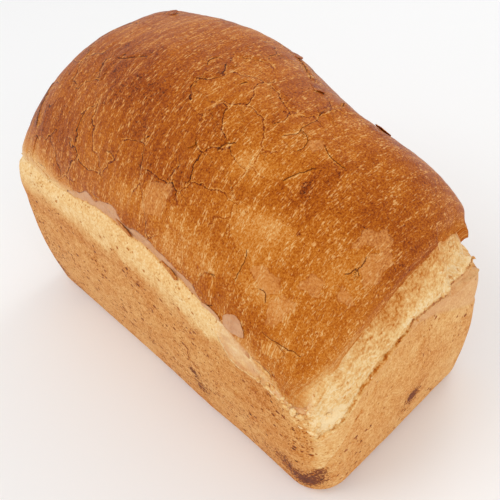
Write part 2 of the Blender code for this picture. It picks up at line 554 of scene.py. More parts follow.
# How bread browns: share of browning, and the crust's colour there
browning = (
    (0.00, (248, 218, 168)),
    (0.18, (241, 200, 137)),
    (0.35, (228, 172, 104)),
    (0.50, (214, 146, 76)),
    (0.62, (197, 117, 38)),
    (0.74, (174, 90, 20)),
    (0.86, (146, 64, 14)),
    (0.95, (98, 40, 18)),
    (1.00, (58, 24, 15)),
)


def makeBakedTint():
    tree, given, result = newGroup(
        "bakedTint", [("Bake", "NodeSocketFloat", 0.5)], [("Color", "NodeSocketColor")]
    )
    ramp = addNode(tree, "ShaderNodeValToRGB", {"Fac": given["Bake"]})
    stops = ramp.color_ramp.elements
    while len(stops) < len(browning):
        stops.new(0.5)
    for stop, (share, colour) in zip(stops, browning):
        stop.position = share
        stop.color = tint(*colour)
    plug(tree, result["Color"], ramp.outputs["Color"])
    return tree


# Fine pale dashes where the skin has stretched: noise drawn out along the second axis of the place
def makeStretchMarks():
    tree, given, result = newGroup(
        "stretchMarks",
        [("Place", "NodeSocketVector", None), ("Across", "NodeSocketFloat", 950.0),
         ("Along", "NodeSocketFloat", 300.0), ("Amount", "NodeSocketFloat", 0.5)],
        [("Mask", "NodeSocketFloat")],
    )
    bent = addNode(tree, "ShaderNodeTexNoise", {"Vector": given["Place"], "Scale": 60.0, "Detail": 1.0})
    bend = addNode(tree, "ShaderNodeVectorMath", {0: bent.outputs["Color"], 1: (0.5, 0.5, 0.5)}, operation="SUBTRACT")
    push = addNode(tree, "ShaderNodeVectorMath", {0: bend.outputs["Vector"], "Scale": 0.0022}, operation="SCALE")
    moved = addNode(tree, "ShaderNodeVectorMath", {0: given["Place"], 1: push.outputs["Vector"]}, operation="ADD")
    parts = addNode(tree, "ShaderNodeSeparateXYZ", {"Vector": moved.outputs["Vector"]}).outputs
    drawn = addNode(tree, "ShaderNodeCombineXYZ", {
        "X": calc(tree, "MULTIPLY", parts["X"], given["Across"]),
        "Y": calc(tree, "MULTIPLY", parts["Y"], given["Along"]),
    })
    marks = noiseValue(tree, drawn.outputs["Vector"], 1.0, 1.5, 0.45)
    floor = calc(tree, "SUBTRACT", 0.74, calc(tree, "MULTIPLY", given["Amount"], 0.22))
    plug(tree, result["Mask"], fadeIn(tree, marks, floor, calc(tree, "ADD", floor, 0.18)))
    return tree


# Small dark pits: cells whose own random value is low enough, drawn as soft dots
def makeOvenPits():
    tree, given, result = newGroup(
        "ovenPits",
        [("Place", "NodeSocketVector", None), ("Scale", "NodeSocketFloat", 400.0),
         ("Amount", "NodeSocketFloat", 0.3), ("Size", "NodeSocketFloat", 0.3)],
        [("Mask", "NodeSocketFloat")],
    )
    rough = addNode(tree, "ShaderNodeTexNoise", {"Vector": given["Place"], "Scale": 900.0, "Detail": 1.0})
    bend = addNode(tree, "ShaderNodeVectorMath", {0: rough.outputs["Color"], "Scale": 0.0007}, operation="SCALE")
    moved = addNode(tree, "ShaderNodeVectorMath", {0: given["Place"], 1: bend.outputs["Vector"]}, operation="ADD")
    cells = addNode(tree, "ShaderNodeTexVoronoi", {"Vector": moved.outputs["Vector"], "Scale": given["Scale"]})
    chance = addNode(tree, "ShaderNodeSeparateXYZ", {"Vector": cells.outputs["Color"]}).outputs
    chosen = calc(tree, "LESS_THAN", chance["X"], given["Amount"])
    size = calc(tree, "MULTIPLY", given["Size"], calc(tree, "ADD", chance["Y"], 0.5))
    dot = fadeIn(tree, cells.outputs["Distance"], calc(tree, "ADD", size, 0.06), calc(tree, "SUBTRACT", size, 0.06))
    plug(tree, result["Mask"], calc(tree, "MULTIPLY", chosen, dot))
    return tree


# A line where a signed distance, in millimetres, is nearly zero; noise makes its width come and go
def makeFineLine():
    tree, given, result = newGroup(
        "fineLine",
        [("Distance", "NodeSocketFloat", 0.0), ("Width", "NodeSocketFloat", 0.3), ("Place", "NodeSocketVector", None),
         ("Wander", "NodeSocketFloat", 0.4)],
        [("Mask", "NodeSocketFloat"), ("Side", "NodeSocketFloat")],
    )
    sway = calc(tree, "SUBTRACT", noiseValue(tree, given["Place"], 420.0, 3.0, 0.6), 0.5)
    moved = calc(tree, "ADD", given["Distance"], calc(tree, "MULTIPLY", sway, given["Wander"]))
    width = calc(tree, "MULTIPLY", given["Width"], noiseValue(tree, given["Place"], 260.0, 2.0, 0.5))
    width = calc(tree, "MULTIPLY", width, 2.0)
    near = calc(tree, "ABSOLUTE", moved)
    plug(tree, result["Mask"], fadeIn(tree, near, width, calc(tree, "MULTIPLY", width, 0.35)))
    plug(tree, result["Side"], moved)
    return tree


bakedTint = makeBakedTint()
stretchMarks = makeStretchMarks()
ovenPits = makeOvenPits()
fineLine = makeFineLine()


# Light that falls straight on is reflected in the warm sheen tint, and grazing light stays white
def newFinish(name, shine, sheenTint):
    material = bpy.data.materials.new(name)
    material.use_nodes = True
    tree = material.node_tree
    shader = tree.nodes["Principled BSDF"]
    shader.inputs["Specular IOR Level"].default_value = shine
    shader.inputs["Specular Tint"].default_value = tint(*sheenTint)
    return material, tree, shader


# A start value plus each value's distance from its middle times its weight
def addAll(tree, start, terms):
    for value, middle, weight in terms:
        start = calc(tree, "MULTIPLY_ADD", value, weight, start)
    return calc(tree, "SUBTRACT", start, sum(middle * weight for value, middle, weight in terms))


# The crown's finish: browned skin with pale stretch marks, golden plate edges, dark cracks, bare patches where the
# skin came off, and a smooth lip with a painted pinkish sheen and a painted shadow line along its top
crownFinish = {
    "bareTint": (214, 146, 84),
    "paleMark": (244, 200, 142),
    "lipSheenTint": (216, 165, 124),
    "crackAndShadowTint": (104, 46, 18),
    "roughness": 0.42,
    "shine": 0.23,
    "sheenTint": (255, 180, 95),
}


def makeCrownFinish():
    material, tree, shader = newFinish("crownCrust", crownFinish["shine"], crownFinish["sheenTint"])
    spot = addNode(tree, "ShaderNodeTexCoord").outputs["Object"]
    place = addNode(tree, "ShaderNodeAttribute", attribute_name="place").outputs["Vector"]
    plates = splitAttribute(tree, "plates")
    cracks = splitAttribute(tree, "cracks")
    skin = splitAttribute(tree, "skin")
    slow = noiseValue(tree, spot, 34.0, 4.0, 0.6)
    middle = noiseValue(tree, spot, 260.0, 3.0, 0.6)
    grain = noiseValue(tree, spot, 1150.0, 2.0, 0.6)
    specks = noiseValue(tree, stretch(tree, place, (2100.0, 1100.0, 0.0)), 1.0, 1.0, 0.5)
    bands = noiseValue(tree, stretch(tree, place, (380.0, 60.0, 0.0)), 1.0, 2.0, 0.5)
    crowd = fadeIn(tree, bands, 0.36, 0.64)
    long = useGroup(tree, stretchMarks, Place=place, Across=1500.0, Along=400.0,
                    Amount=calc(tree, "MULTIPLY_ADD", crowd, 0.60, 0.50))["Mask"]
    short = useGroup(tree, stretchMarks, Place=place, Across=1900.0, Along=850.0,
                     Amount=calc(tree, "MULTIPLY_ADD", crowd, 0.40, 0.66))["Mask"]
    flecks = useGroup(tree, stretchMarks, Place=place, Across=-1350.0, Along=620.0, Amount=0.42)["Mask"]
    lip = skin["Z"]
    bare = calc(tree, "MULTIPLY_ADD", calc(tree, "SUBTRACT", middle, 0.5), 3.2, skin["X"])
    border = fadeIn(tree, calc(tree, "ABSOLUTE", bare), 0.42, 0.10)
    bare = fadeIn(tree, bare, -0.35, 0.35)
    rubbed = calc(tree, "MULTIPLY_ADD", cracks["Z"], 0.30, calc(tree, "MULTIPLY", middle, 0.9))
    rubbed = calc(tree, "MULTIPLY", fadeIn(tree, rubbed, 0.52, 0.68), cracks["Z"])
    vein = useGroup(tree, fineLine, Distance=plates["X"], Width=0.33, Place=spot, Wander=2.8)
    veinMask = calc(tree, "MULTIPLY", vein["Mask"], plates["Y"])
    veinShade = fadeIn(tree, calc(tree, "ABSOLUTE", calc(tree, "SUBTRACT", vein["Side"], 0.62)), 0.45, 0.05)
    veinShade = calc(tree, "MULTIPLY", veinShade, plates["Y"])
    crack = useGroup(tree, fineLine, Distance=cracks["X"], Width=0.24, Place=spot, Wander=1.5)
    crackMask = calc(tree, "MULTIPLY", crack["Mask"], fadeIn(tree, cracks["Y"], 0.15, 0.55))
    crackLip = fadeIn(tree, calc(tree, "ABSOLUTE", calc(tree, "ADD", crack["Side"], 0.65)), 0.5, 0.1)
    crackLip = calc(tree, "MULTIPLY", crackLip, cracks["Y"])
    pits = useGroup(tree, ovenPits, Place=spot, Scale=210.0, Amount=0.06, Size=0.13)["Mask"]
    # Painted shadow: a thin dark broken line along the top of the lip, where the crust's edge turns under
    lipShadowLine = fadeIn(tree, calc(tree, "ABSOLUTE", calc(tree, "SUBTRACT", lip, 0.45)), 0.40, 0.15)
    lipShadowLine = calc(tree, "MULTIPLY", lipShadowLine, fadeIn(tree, middle, 0.42, 0.56))

    bake = addAll(tree, skin["Y"], (
        (slow, 0.5, 0.18), (middle, 0.5, 0.20), (grain, 0.5, 0.42), (specks, 0.5, 0.40), (bands, 0.5, -0.18),
        (plates["Z"], 0, 0.058), (long, 0, -0.18), (short, 0, -0.16), (flecks, 0, 0.14),
        (veinMask, 0, -0.15), (veinShade, 0, 0.20), (crackLip, 0, -0.10), (border, 0, 0.04), (pits, 0, 0.18),
        (rubbed, 0, -0.13), (lipShadowLine, 0, 0.10),
    ))
    colour = useGroup(tree, bakedTint, Bake=bake)["Color"]
    bareShare = calc(tree, "MULTIPLY", bare, fadeIn(tree, grain, 0.30, 0.62, 0.75, 0.30))
    colour = mixTint(tree, bareShare, colour, tint(*crownFinish["bareTint"]))
    colour = mixTint(tree, calc(tree, "MULTIPLY", long, 0.30), colour, tint(*crownFinish["paleMark"]))
    # Painted sheen: over the lip the crust turns to a pinkish tint that stands in for grazing reflection
    lipSheenShare = calc(tree, "MULTIPLY", lip, fadeIn(tree, middle, 0.32, 0.66, 0.62, 0.92))
    colour = mixTint(tree, lipSheenShare, colour, tint(*crownFinish["lipSheenTint"]))
    # Cracks and the painted shadow line above the lip share one dark tint
    crackAndShadowLine = calc(tree, "MAXIMUM", crackMask, calc(tree, "MULTIPLY", lipShadowLine, 0.8))
    colour = mixTint(tree, calc(tree, "MULTIPLY", crackAndShadowLine, 0.88), colour, tint(*crownFinish["crackAndShadowTint"]))
    plug(tree, shader.inputs["Base Color"], colour)

    fromEdge = addNode(tree, "ShaderNodeSeparateXYZ", {"Vector": place}).outputs["Z"]
    atTear = fadeIn(tree, addNode(tree, "ShaderNodeSeparateXYZ", {"Vector": spot}).outputs["X"], 0.084, 0.094)
    atTear = calc(tree, "MULTIPLY", atTear, fadeIn(tree, fromEdge, 0.010, 0.002))
    rough = addAll(tree, crownFinish["roughness"], (
        (grain, 0.5, 0.16), (bare, 0, 0.22), (long, 0, 0.10), (lip, 0, -0.10), (atTear, 0, 0.35),
    ))
    plug(tree, shader.inputs["Roughness"], rough)
    height = addAll(tree, 0.0, (
        (long, 0, 0.12), (short, 0, 0.07), (flecks, 0, -0.08), (grain, 0, 0.22), (middle, 0, 0.35),
        (crackMask, 0, -0.55), (veinMask, 0, 0.12), (veinShade, 0, -0.12), (bare, 0, -0.18), (pits, 0, -0.25),
    ))
    bump = addNode(tree, "ShaderNodeBump", {"Height": height, "Strength": 0.75, "Distance": 0.001})
    plug(tree, shader.inputs["Normal"], bump.outputs["Normal"])
    return material


# The finish of what the tin held and what tore open: cream crumb, golden sides, pits, scorch and torn strands
tinFinish = {
    "roughness": 0.62,
    "shine": 0.20,
    "sheenTint": (255, 225, 180),
    "pinkSheenTint": (222, 174, 134),
    "creaseShadeTint": (188, 128, 90),
    "scorchTint": (104, 50, 30),
}


def makeTinFinish():
    material, tree, shader = newFinish("tinCrust", tinFinish["shine"], tinFinish["sheenTint"])
    spot = addNode(tree, "ShaderNodeTexCoord").outputs["Object"]
    place = addNode(tree, "ShaderNodeAttribute", attribute_name="place").outputs["Vector"]
    skin = splitAttribute(tree, "skin")
    zones = splitAttribute(tree, "zones")
    marks = splitAttribute(tree, "marks")
    slow = noiseValue(tree, spot, 45.0, 4.0, 0.6)
    middle = noiseValue(tree, spot, 260.0, 4.0, 0.65)
    grain = noiseValue(tree, spot, 1050.0, 2.0, 0.6)
    strands = noiseValue(tree, stretch(tree, place, (120.0, 0.0, 620.0)), 1.0, 3.0, 0.6)
    blotches = noiseValue(tree, stretch(tree, place, (230.0, 0.0, 480.0)), 1.0, 4.0, 0.65)
    crumb = noiseValue(tree, spot, 720.0, 3.0, 0.65)
    streaks = noiseValue(tree, stretch(tree, place, (45.0, 210.0, 0.0)), 1.0, 4.0, 0.65, 0.4)
    fine = useGroup(tree, ovenPits, Place=spot, Scale=1150.0, Amount=calc(tree, "MULTIPLY", skin["Z"], 0.42),
                    Size=0.26)["Mask"]
    crowd = noiseValue(tree, spot, 75.0, 2.0, 0.5)
    crowd = calc(tree, "MULTIPLY", fadeIn(tree, crowd, 0.40, 0.62, 0.20, 1.3), skin["Z"])
    dents = useGroup(tree, ovenPits, Place=stretch(tree, place, (0.75, 1.0, 0.0)), Scale=430.0,
                     Amount=calc(tree, "MULTIPLY", crowd, 0.90), Size=0.25)["Mask"]
    holes = useGroup(tree, ovenPits, Place=spot, Scale=760.0, Amount=calc(tree, "MULTIPLY", crowd, 0.70),
                     Size=0.28)["Mask"]
    pits = calc(tree, "MAXIMUM", dents, calc(tree, "MULTIPLY", holes, 0.75))
    pits = calc(tree, "MAXIMUM", pits, calc(tree, "MULTIPLY", fine, 0.60))
    streaky = noiseValue(tree, stretch(tree, place, (820.0, 640.0, 0.0)), 1.0, 4.0, 0.75)
    scorch = calc(tree, "MULTIPLY_ADD", calc(tree, "SUBTRACT", streaky, 0.5), 3.2, skin["Y"])
    scorch = fadeIn(tree, scorch, 0.42, 0.95)
    # Painted shade: a dark line in the groove along the foot of the torn band
    foot = useGroup(tree, fineLine, Distance=marks["X"], Width=0.62, Place=spot, Wander=2.0)["Mask"]
    foot = calc(tree, "MULTIPLY", foot, fadeIn(tree, zones["Y"], 0.02, 0.25))
    foot = calc(tree, "MULTIPLY", foot, fadeIn(tree, blotches, 0.38, 0.58, 0.25, 1.0))
    ridge = useGroup(tree, fineLine, Distance=marks["Y"], Width=0.42, Place=spot, Wander=1.2)["Mask"]
    crease = useGroup(tree, fineLine, Distance=marks["Z"], Width=0.34, Place=spot, Wander=1.4)["Mask"]
    torn = calc(tree, "MULTIPLY", zones["Y"], calc(tree, "SUBTRACT", strands, 0.5))
    patchy = calc(tree, "MULTIPLY", zones["Y"], calc(tree, "SUBTRACT", blotches, 0.5))
    crumb = calc(tree, "MULTIPLY", zones["Y"], calc(tree, "SUBTRACT", crumb, 0.5))

    bake = addAll(tree, skin["X"], (
        (slow, 0.5, 0.24), (middle, 0.5, 0.46), (grain, 0.5, 0.72), (streaks, 0.5, 0.20), (torn, 0, 0.50), (patchy, 0, 0.70), (crumb, 0, 0.55),
        (pits, 0, 0.38), (scorch, 0, 0.36), (foot, 0, 0.34), (ridge, 0, -0.26),
    ))
    colour = useGroup(tree, bakedTint, Bake=calc(tree, "ADD", bake, 0.0, clamp=True))["Color"]
    # Painted sheen: a pinkish tint on the strip by the near corner and on the wedge, standing in for grazing reflection
    colour = mixTint(tree, calc(tree, "MULTIPLY", zones["Z"], 0.60), colour, tint(*tinFinish["pinkSheenTint"]))
    # Painted shade: a darker tan line along the crease's groove
    colour = mixTint(tree, calc(tree, "MULTIPLY", crease, 0.50), colour, tint(*tinFinish["creaseShadeTint"]))
    burnt = calc(tree, "MULTIPLY", calc(tree, "MULTIPLY", scorch, scorch), 0.75)
    colour = mixTint(tree, burnt, colour, tint(*tinFinish["scorchTint"]))
    plug(tree, shader.inputs["Base Color"], colour)

    rough = addAll(tree, tinFinish["roughness"], ((middle, 0.5, 0.16), (grain, 0.5, 0.10)))
    plug(tree, shader.inputs["Roughness"], rough)
    height = addAll(tree, 0.0, (
        (grain, 0, 0.24), (middle, 0, 0.45), (torn, 0, 0.6), (patchy, 0, 0.3), (crumb, 0, 0.6), (pits, 0, -0.35),
        (scorch, 0, -0.12), (foot, 0, -0.35), (ridge, 0, 0.25), (crease, 0, -0.25),
    ))
    bump = addNode(tree, "ShaderNodeBump", {"Height": height, "Strength": 0.8, "Distance": 0.001})
    plug(tree, shader.inputs["Normal"], bump.outputs["Normal"])
    return material


crownMaterial = makeCrownFinish()
tinMaterial = makeTinFinish()
print("finishes are made")

# Cracks in the crown, in millimetres: start, end, how far the middle bows out, lift of one side (its sign says which),
crownCracks = (
    ((43.5, 31.8, 131.5), (46.4, 14.8, 137.0), 1.2, 1.1),
    ((46.4, 14.8, 137.0), (45.5, -5.2, 136.4), 1.5, 0.35),
    ((12.4, 37.9, 137.6), (28.1, 27.9, 139.3), 1.0, 0.9),
    ((48.4, 2.3, 136.3), (52.9, -5.3, 133.6), 2.5, 0.25),
    ((56.9, 4.7, 133.0), (67.5, 4.1, 127.7), -1.5, 0.3),
    ((55.7, -16.7, 129.5), (61.8, -5.0, 129.7), 1.0, 0.3),
    ((-46.7, -13.3, 141.5), (-30.8, -7.7, 145.6), -1.5, 0.3),
    ((-2.2, 1.0, 146.9), (-2.4, 8.2, 147.3), 1.2, 0.3),
    ((30.0, -24.2, 133.5), (34.1, -18.2, 135.7), 0.8, 0.25),
    ((-21.3, -42.4, 120.6), (-14.8, -43.4, 119.1), 0.5, 0.2),
    ((16.1, 1.1, 144.6), (18.3, 4.9, 144.5), 0.8, 0.3),
    ((90.6, -10.6, 108.0), (89.2, -21.1, 107.1), 1.0, 0.45),
    ((90.4, -16.8, 107.1), (92.6, -16.8, 104.8), 0.3, 0.2),
    ((69.6, -44.5, 104.6), (74.0, -46.2, 100.8), 1.5, 0.4),
    ((76.7, -51.1, 92.9), (92.8, -48.0, 89.3), -1.0, 0.4),
    ((59.5, -39.7, 113.1), (59.2, -47.5, 103.7), 1.2, 0.3),
    ((45.9, -51.6, 99.2), (52.0, -49.6, 101.8), 0.5, 0.5),
    ((45.9, -51.6, 99.2), (44.4, -53.7, 93.9), 0.3, 0.3),
    ((-72.7, -53.1, 96.2), (-64.8, -53.6, 95.6), 0.4, 0.4),
    ((-43.7, -52.6, 99.8), (-39.5, -52.5, 100.2), 0.3, 0.4),
    ((-24.5, -52.2, 101.8), (-12.2, -53.2, 98.8), 0.6, 0.5),
    ((-4.3, -53.3, 98.4), (4.2, -54.2, 95.3), 0.5, 0.5),
    ((44.6, -55.8, 86.2), (53.1, -54.3, 90.9), 1.0, 0.5),
    ((75.1, -55.9, 80.6), (85.2, -55.9, 78.0), 0.6, 0.4),
)

# Outlines, in millimetres, of the patches where the glossy skin has come off
peeledPatches = (
    ((8, -43, 118.5), (18, -39.5, 122), (21.5, -40.5, 121), (20, -44.5, 115), (19, -47.5, 110), (7, -49.5, 107)),
    ((64.5, -42.5, 108.5), (69, -39, 110), (75, -38.5, 108), (75, -42, 105), (70.5, -44.5, 104), (66, -45, 105.5)),
    ((75, -45.5, 101), (81, -41, 103), (83, -41.5, 101), (83, -45.5, 98), (81, -50, 93.5), (76, -50.5, 94)),
    ((89, -23, 107), (91.5, -21.5, 105), (95.5, -24.5, 99.5), (93, -28.5, 101), (90.5, -28, 103.5)),
    ((90, -16, 107), (90.5, -8.5, 108.5), (93.5, -1.5, 106), (95.5, -3, 103), (96, -11, 101.5), (96, -18, 100.5)),
    ((79.5, -34.5, 108.5), (82, -30, 109), (87, -28, 107), (89, -33.5, 102.5), (85.5, -35.5, 104), (81.5, -36.5, 106)),
    ((84, -6.5, 115), (88.5, 2.5, 111.5), (91.5, 2.5, 108.5), (92, -3.5, 107.5), (85, -16, 112.5)),
    ((53, 0.5, 134.5), (54, 5.5, 134.5), (56.5, 6, 133), (58, 2, 132.5), (56, -0.5, 133)),
)

crownCrust = {
    "cellsAlong": 364,
    "cellsAcross": 250,
    "edgePull": 1.2,  # above 1.9 the cells at the corners would fold over
    "lipRows": ((0.05, 0.20), (-0.10, 0.55), (-0.60, 1.00), (-1.5, 1.7), (-2.4, 3.0)),  # mm up the wall, mm inwards
    "plateLength": 21,
    "plateWidth": 15,
    "plateStep": 0.30,
    "peelDepth": 0.14,
    "rollUnder": 1.1,
    "wornPlaces": (  # middle, reach along each axis
        ((89, -14, 106), (9, 22, 9)),
        ((74, -44, 103), (14, 6, 10)),
        ((14, -44, 115), (9, 5, 8)),
        ((38, -50, 101), (16, 5, 8)),
        ((60, -30, 119), (14, 8, 8)),
        ((32, -47, 108), (22, 7, 10)),
        ((-4, -49, 110), (13, 6, 9)),
        ((44, -20, 130), (12, 9, 7)),
    ),
    "darkPlaces": (  # middle, reach, darker by
        ((64, -14, 127), 5.5, 0.09),
        ((77, -53, 89), 6.0, 0.07),
        ((58, -51, 98), 7.0, 0.05),
        ((-95, -30, 105), 20.0, 0.03),
    ),
}


# Irregular plates: cells round jittered seeds, with the signed distance to the border between the nearest two
def plateField(u, v):
    chance = np.random.default_rng(11)
    stepU, stepV = crownCrust["plateLength"] * mm, crownCrust["plateWidth"] * mm
    seedU, seedV = np.meshgrid(np.arange(-9, 10) * stepU, np.arange(-9, 10) * stepV)
    seeds = np.stack([seedU.ravel(), seedV.ravel()], axis=-1)
    seeds = seeds + chance.uniform(-0.5, 0.5, seeds.shape) * (stepU, stepV)
    lift = chance.uniform(-1, 1, len(seeds))
    flat = np.stack([u, v, 0 * u], axis=-1)
    flatU = u + 4.0 * mm * layeredNoise(flat, 13 * mm, 3, 21)
    flatV = v + 4.0 * mm * layeredNoise(flat, 13 * mm, 3, 31)
    far = (flatU[..., None] - seeds[:, 0]) ** 2 + (flatV[..., None] - seeds[:, 1]) ** 2
    order = np.argpartition(far, 2, axis=-1)[..., :2]
    pair = np.take_along_axis(far, order, axis=-1)
    swap = pair[..., 0] > pair[..., 1]
    first = np.where(swap, order[..., 1], order[..., 0])
    second = np.where(swap, order[..., 0], order[..., 1])
    gap = np.linalg.norm(seeds[first] - seeds[second], axis=-1)
    border = np.abs(pair[..., 1] - pair[..., 0]) / (2 * gap)
    signed = border * np.where(first < second, 1, -1)
    nearBorder = 0.5 - 0.5 * smoothStep(0, 1.0 * mm, border)
    height = lift[first] + (lift[second] - lift[first]) * nearBorder
    active = smoothStep(-0.30, 0.10, softNoise(flat, 16 * mm, 41)) * (1 - 0.75 * smoothStep(40, 75, u / mm))
    return signed, active, height, lift[first]


# Signed distance to the nearest crack, its strength, and the relief: one side lifted, and a groove between
def crackField(points, normals):
    nearest = np.full(points.shape[:-1], 30 * mm)
    strength = np.zeros(points.shape[:-1])
    relief = np.zeros(points.shape[:-1])
    flat = points.reshape(-1, 3)
    wander = 0.9 * mm * layeredNoise(points, 5 * mm, 3, 51)
    for start, end, bow, lift in crownCracks:
        start, end = np.array(start) * mm, np.array(end) * mm
        middle = (start + end) / 2
        closest = np.argmin(((flat - middle) ** 2).sum(axis=1))
        out = normals.reshape(-1, 3)[closest]
        length = np.linalg.norm(end - start)
        run = (end - start) / length
        side = unit(np.cross(out, run))
        offset = points - start
        along = offset @ run / length
        across = offset @ side - bow * mm * 4 * along * (1 - along) + wander
        close = np.abs(offset @ out) < 9 * mm
        inside = smoothStep(-0.06, 0.10, along) * (1 - smoothStep(0.90, 1.06, along)) * close
        raised = smoothStep(-0.45 * mm, 0.45 * mm, across) * np.exp(-np.clip(across, 0, 1) / (3.5 * mm))
        relief += lift * mm * raised * inside - 0.30 * mm * bell(across / (0.7 * mm)) * inside
        better = (np.abs(across) < np.abs(nearest)) & (inside > 0.02)
        nearest = np.where(better, across, nearest)
        strength = np.where(better, inside, strength)
    return nearest, strength, relief


# Signed distance to a closed outline in its own plane: the nearest edge's distance, above 0 inside
def outlineField(points, normals, outline):
    outline = np.array(outline) * mm
    middle = outline.mean(axis=0)
    offset = points - middle
    closest = np.argmin((offset**2).sum(axis=-1))
    out = normals.reshape(-1, 3)[closest]
    right = unit(np.cross([0, 0, 1], out))
    axes = np.stack([right, np.cross(out, right)])
    flat, corners = offset @ axes.T, (outline - middle) @ axes.T
    distance = np.full(points.shape[:-1], np.inf)
    inside = np.zeros(points.shape[:-1], bool)
    for start, end in zip(corners, np.roll(corners, -1, axis=0)):
        edge, reach = end - start, flat - start
        share = np.clip(reach @ edge / (edge @ edge), 0, 1)
        distance = np.minimum(distance, np.linalg.norm(reach - share[..., None] * edge, axis=-1))
        spans = (start[1] > flat[..., 1]) != (end[1] > flat[..., 1])
        inside ^= spans & (reach[..., 0] < edge[0] * reach[..., 1] / np.where(edge[1] == 0, 1e-9, edge[1]))
    near = np.abs(offset @ out) < 9 * mm
    return np.where(inside & near, distance, -distance)


# Soft areas where the skin is only rubbed, from 0 to 1
def wornField(points):
    field = sum(
        bell(np.linalg.norm((points - np.array(middle) * mm) / (np.array(reach) * mm), axis=-1))
        for middle, reach in crownCrust["wornPlaces"]
    )
    return np.clip(field, 0, 1)


def peelField(points, normals):
    field = np.max([outlineField(points, normals, outline) for outline in peeledPatches], axis=0)
    return np.clip(field + 1.9 * mm * layeredNoise(points, 5.5 * mm, 3, 61), -12 * mm, 12 * mm)


# How far a place lies up the crust from its edge: the ray's remaining share times the half length of its side
def distanceFromEdge(a, b, scale):
    m = np.maximum(np.abs(a), np.abs(b))
    towardsEnd = smoothStep(-0.15, 0.15, np.abs(a) - np.abs(b))
    halfLength = (acrossTable["length"] + (alongTable["length"] - acrossTable["length"]) * towardsEnd) / 2
    return (edgeScaleAt(a, b) - scale * m) * halfLength


def crownBake(points, u, v, fromEdge):
    x, y = points[..., 0] / mm, points[..., 1] / mm
    bake = 0.77 + 0.03 * softNoise(points, 45 * mm, 81) + 0.02 * softNoise(points, 17 * mm, 82)
    bake = bake + 0.045 * smoothStep(-30, -90, x) - 0.10 * smoothStep(20, 85, x) * smoothStep(20, -40, y)
    for middle, reach, darker in crownCrust["darkPlaces"]:
        bake = bake + darker * bell(np.linalg.norm(points - np.array(middle) * mm, axis=-1) / (reach * mm))
    paleReach = (8 + 13 * smoothStep(-38, -86, x)) * mm
    paleEnd = (1 - smoothStep(-0.15, 1, fromEdge / paleReach)) * smoothStep(-14, -62, x) * smoothStep(45, 20, y)
    nearCorner = bell(np.hypot((x - 95) / 26, (y + 56) / 20)) * (1 - smoothStep(-0.3, 1, fromEdge / (22 * mm)))
    fringe = smoothStep(84, 94, x) * (1 - smoothStep(0, 6 * mm, fromEdge))
    bake = bake - 0.52 * paleEnd - 0.52 * nearCorner - 0.06 * fringe * (0.7 + softNoise(points, 2.4 * mm, 83))
    return bake - 0.05 * (1 - smoothStep(0, 3 * mm, fromEdge))


# The smooth lip along the lower edge of the -Y side, narrower and broader by turns, where the crown's finish paints a
# pinkish sheen
def lipField(points, fromEdge):
    x, y = points[..., 0] / mm, points[..., 1] / mm
    width = 6.4 + 3.4 * softNoise(points, 11 * mm, 84) + 1.8 * softNoise(points, 4 * mm, 85)
    width = width * smoothStep(-54, -26, x) * (1 - smoothStep(38, 52, x))
    return (y < -40) * (1 - smoothStep(-0.35, 0.35, fromEdge / mm - width)) * smoothStep(0.6, 1.2, width)


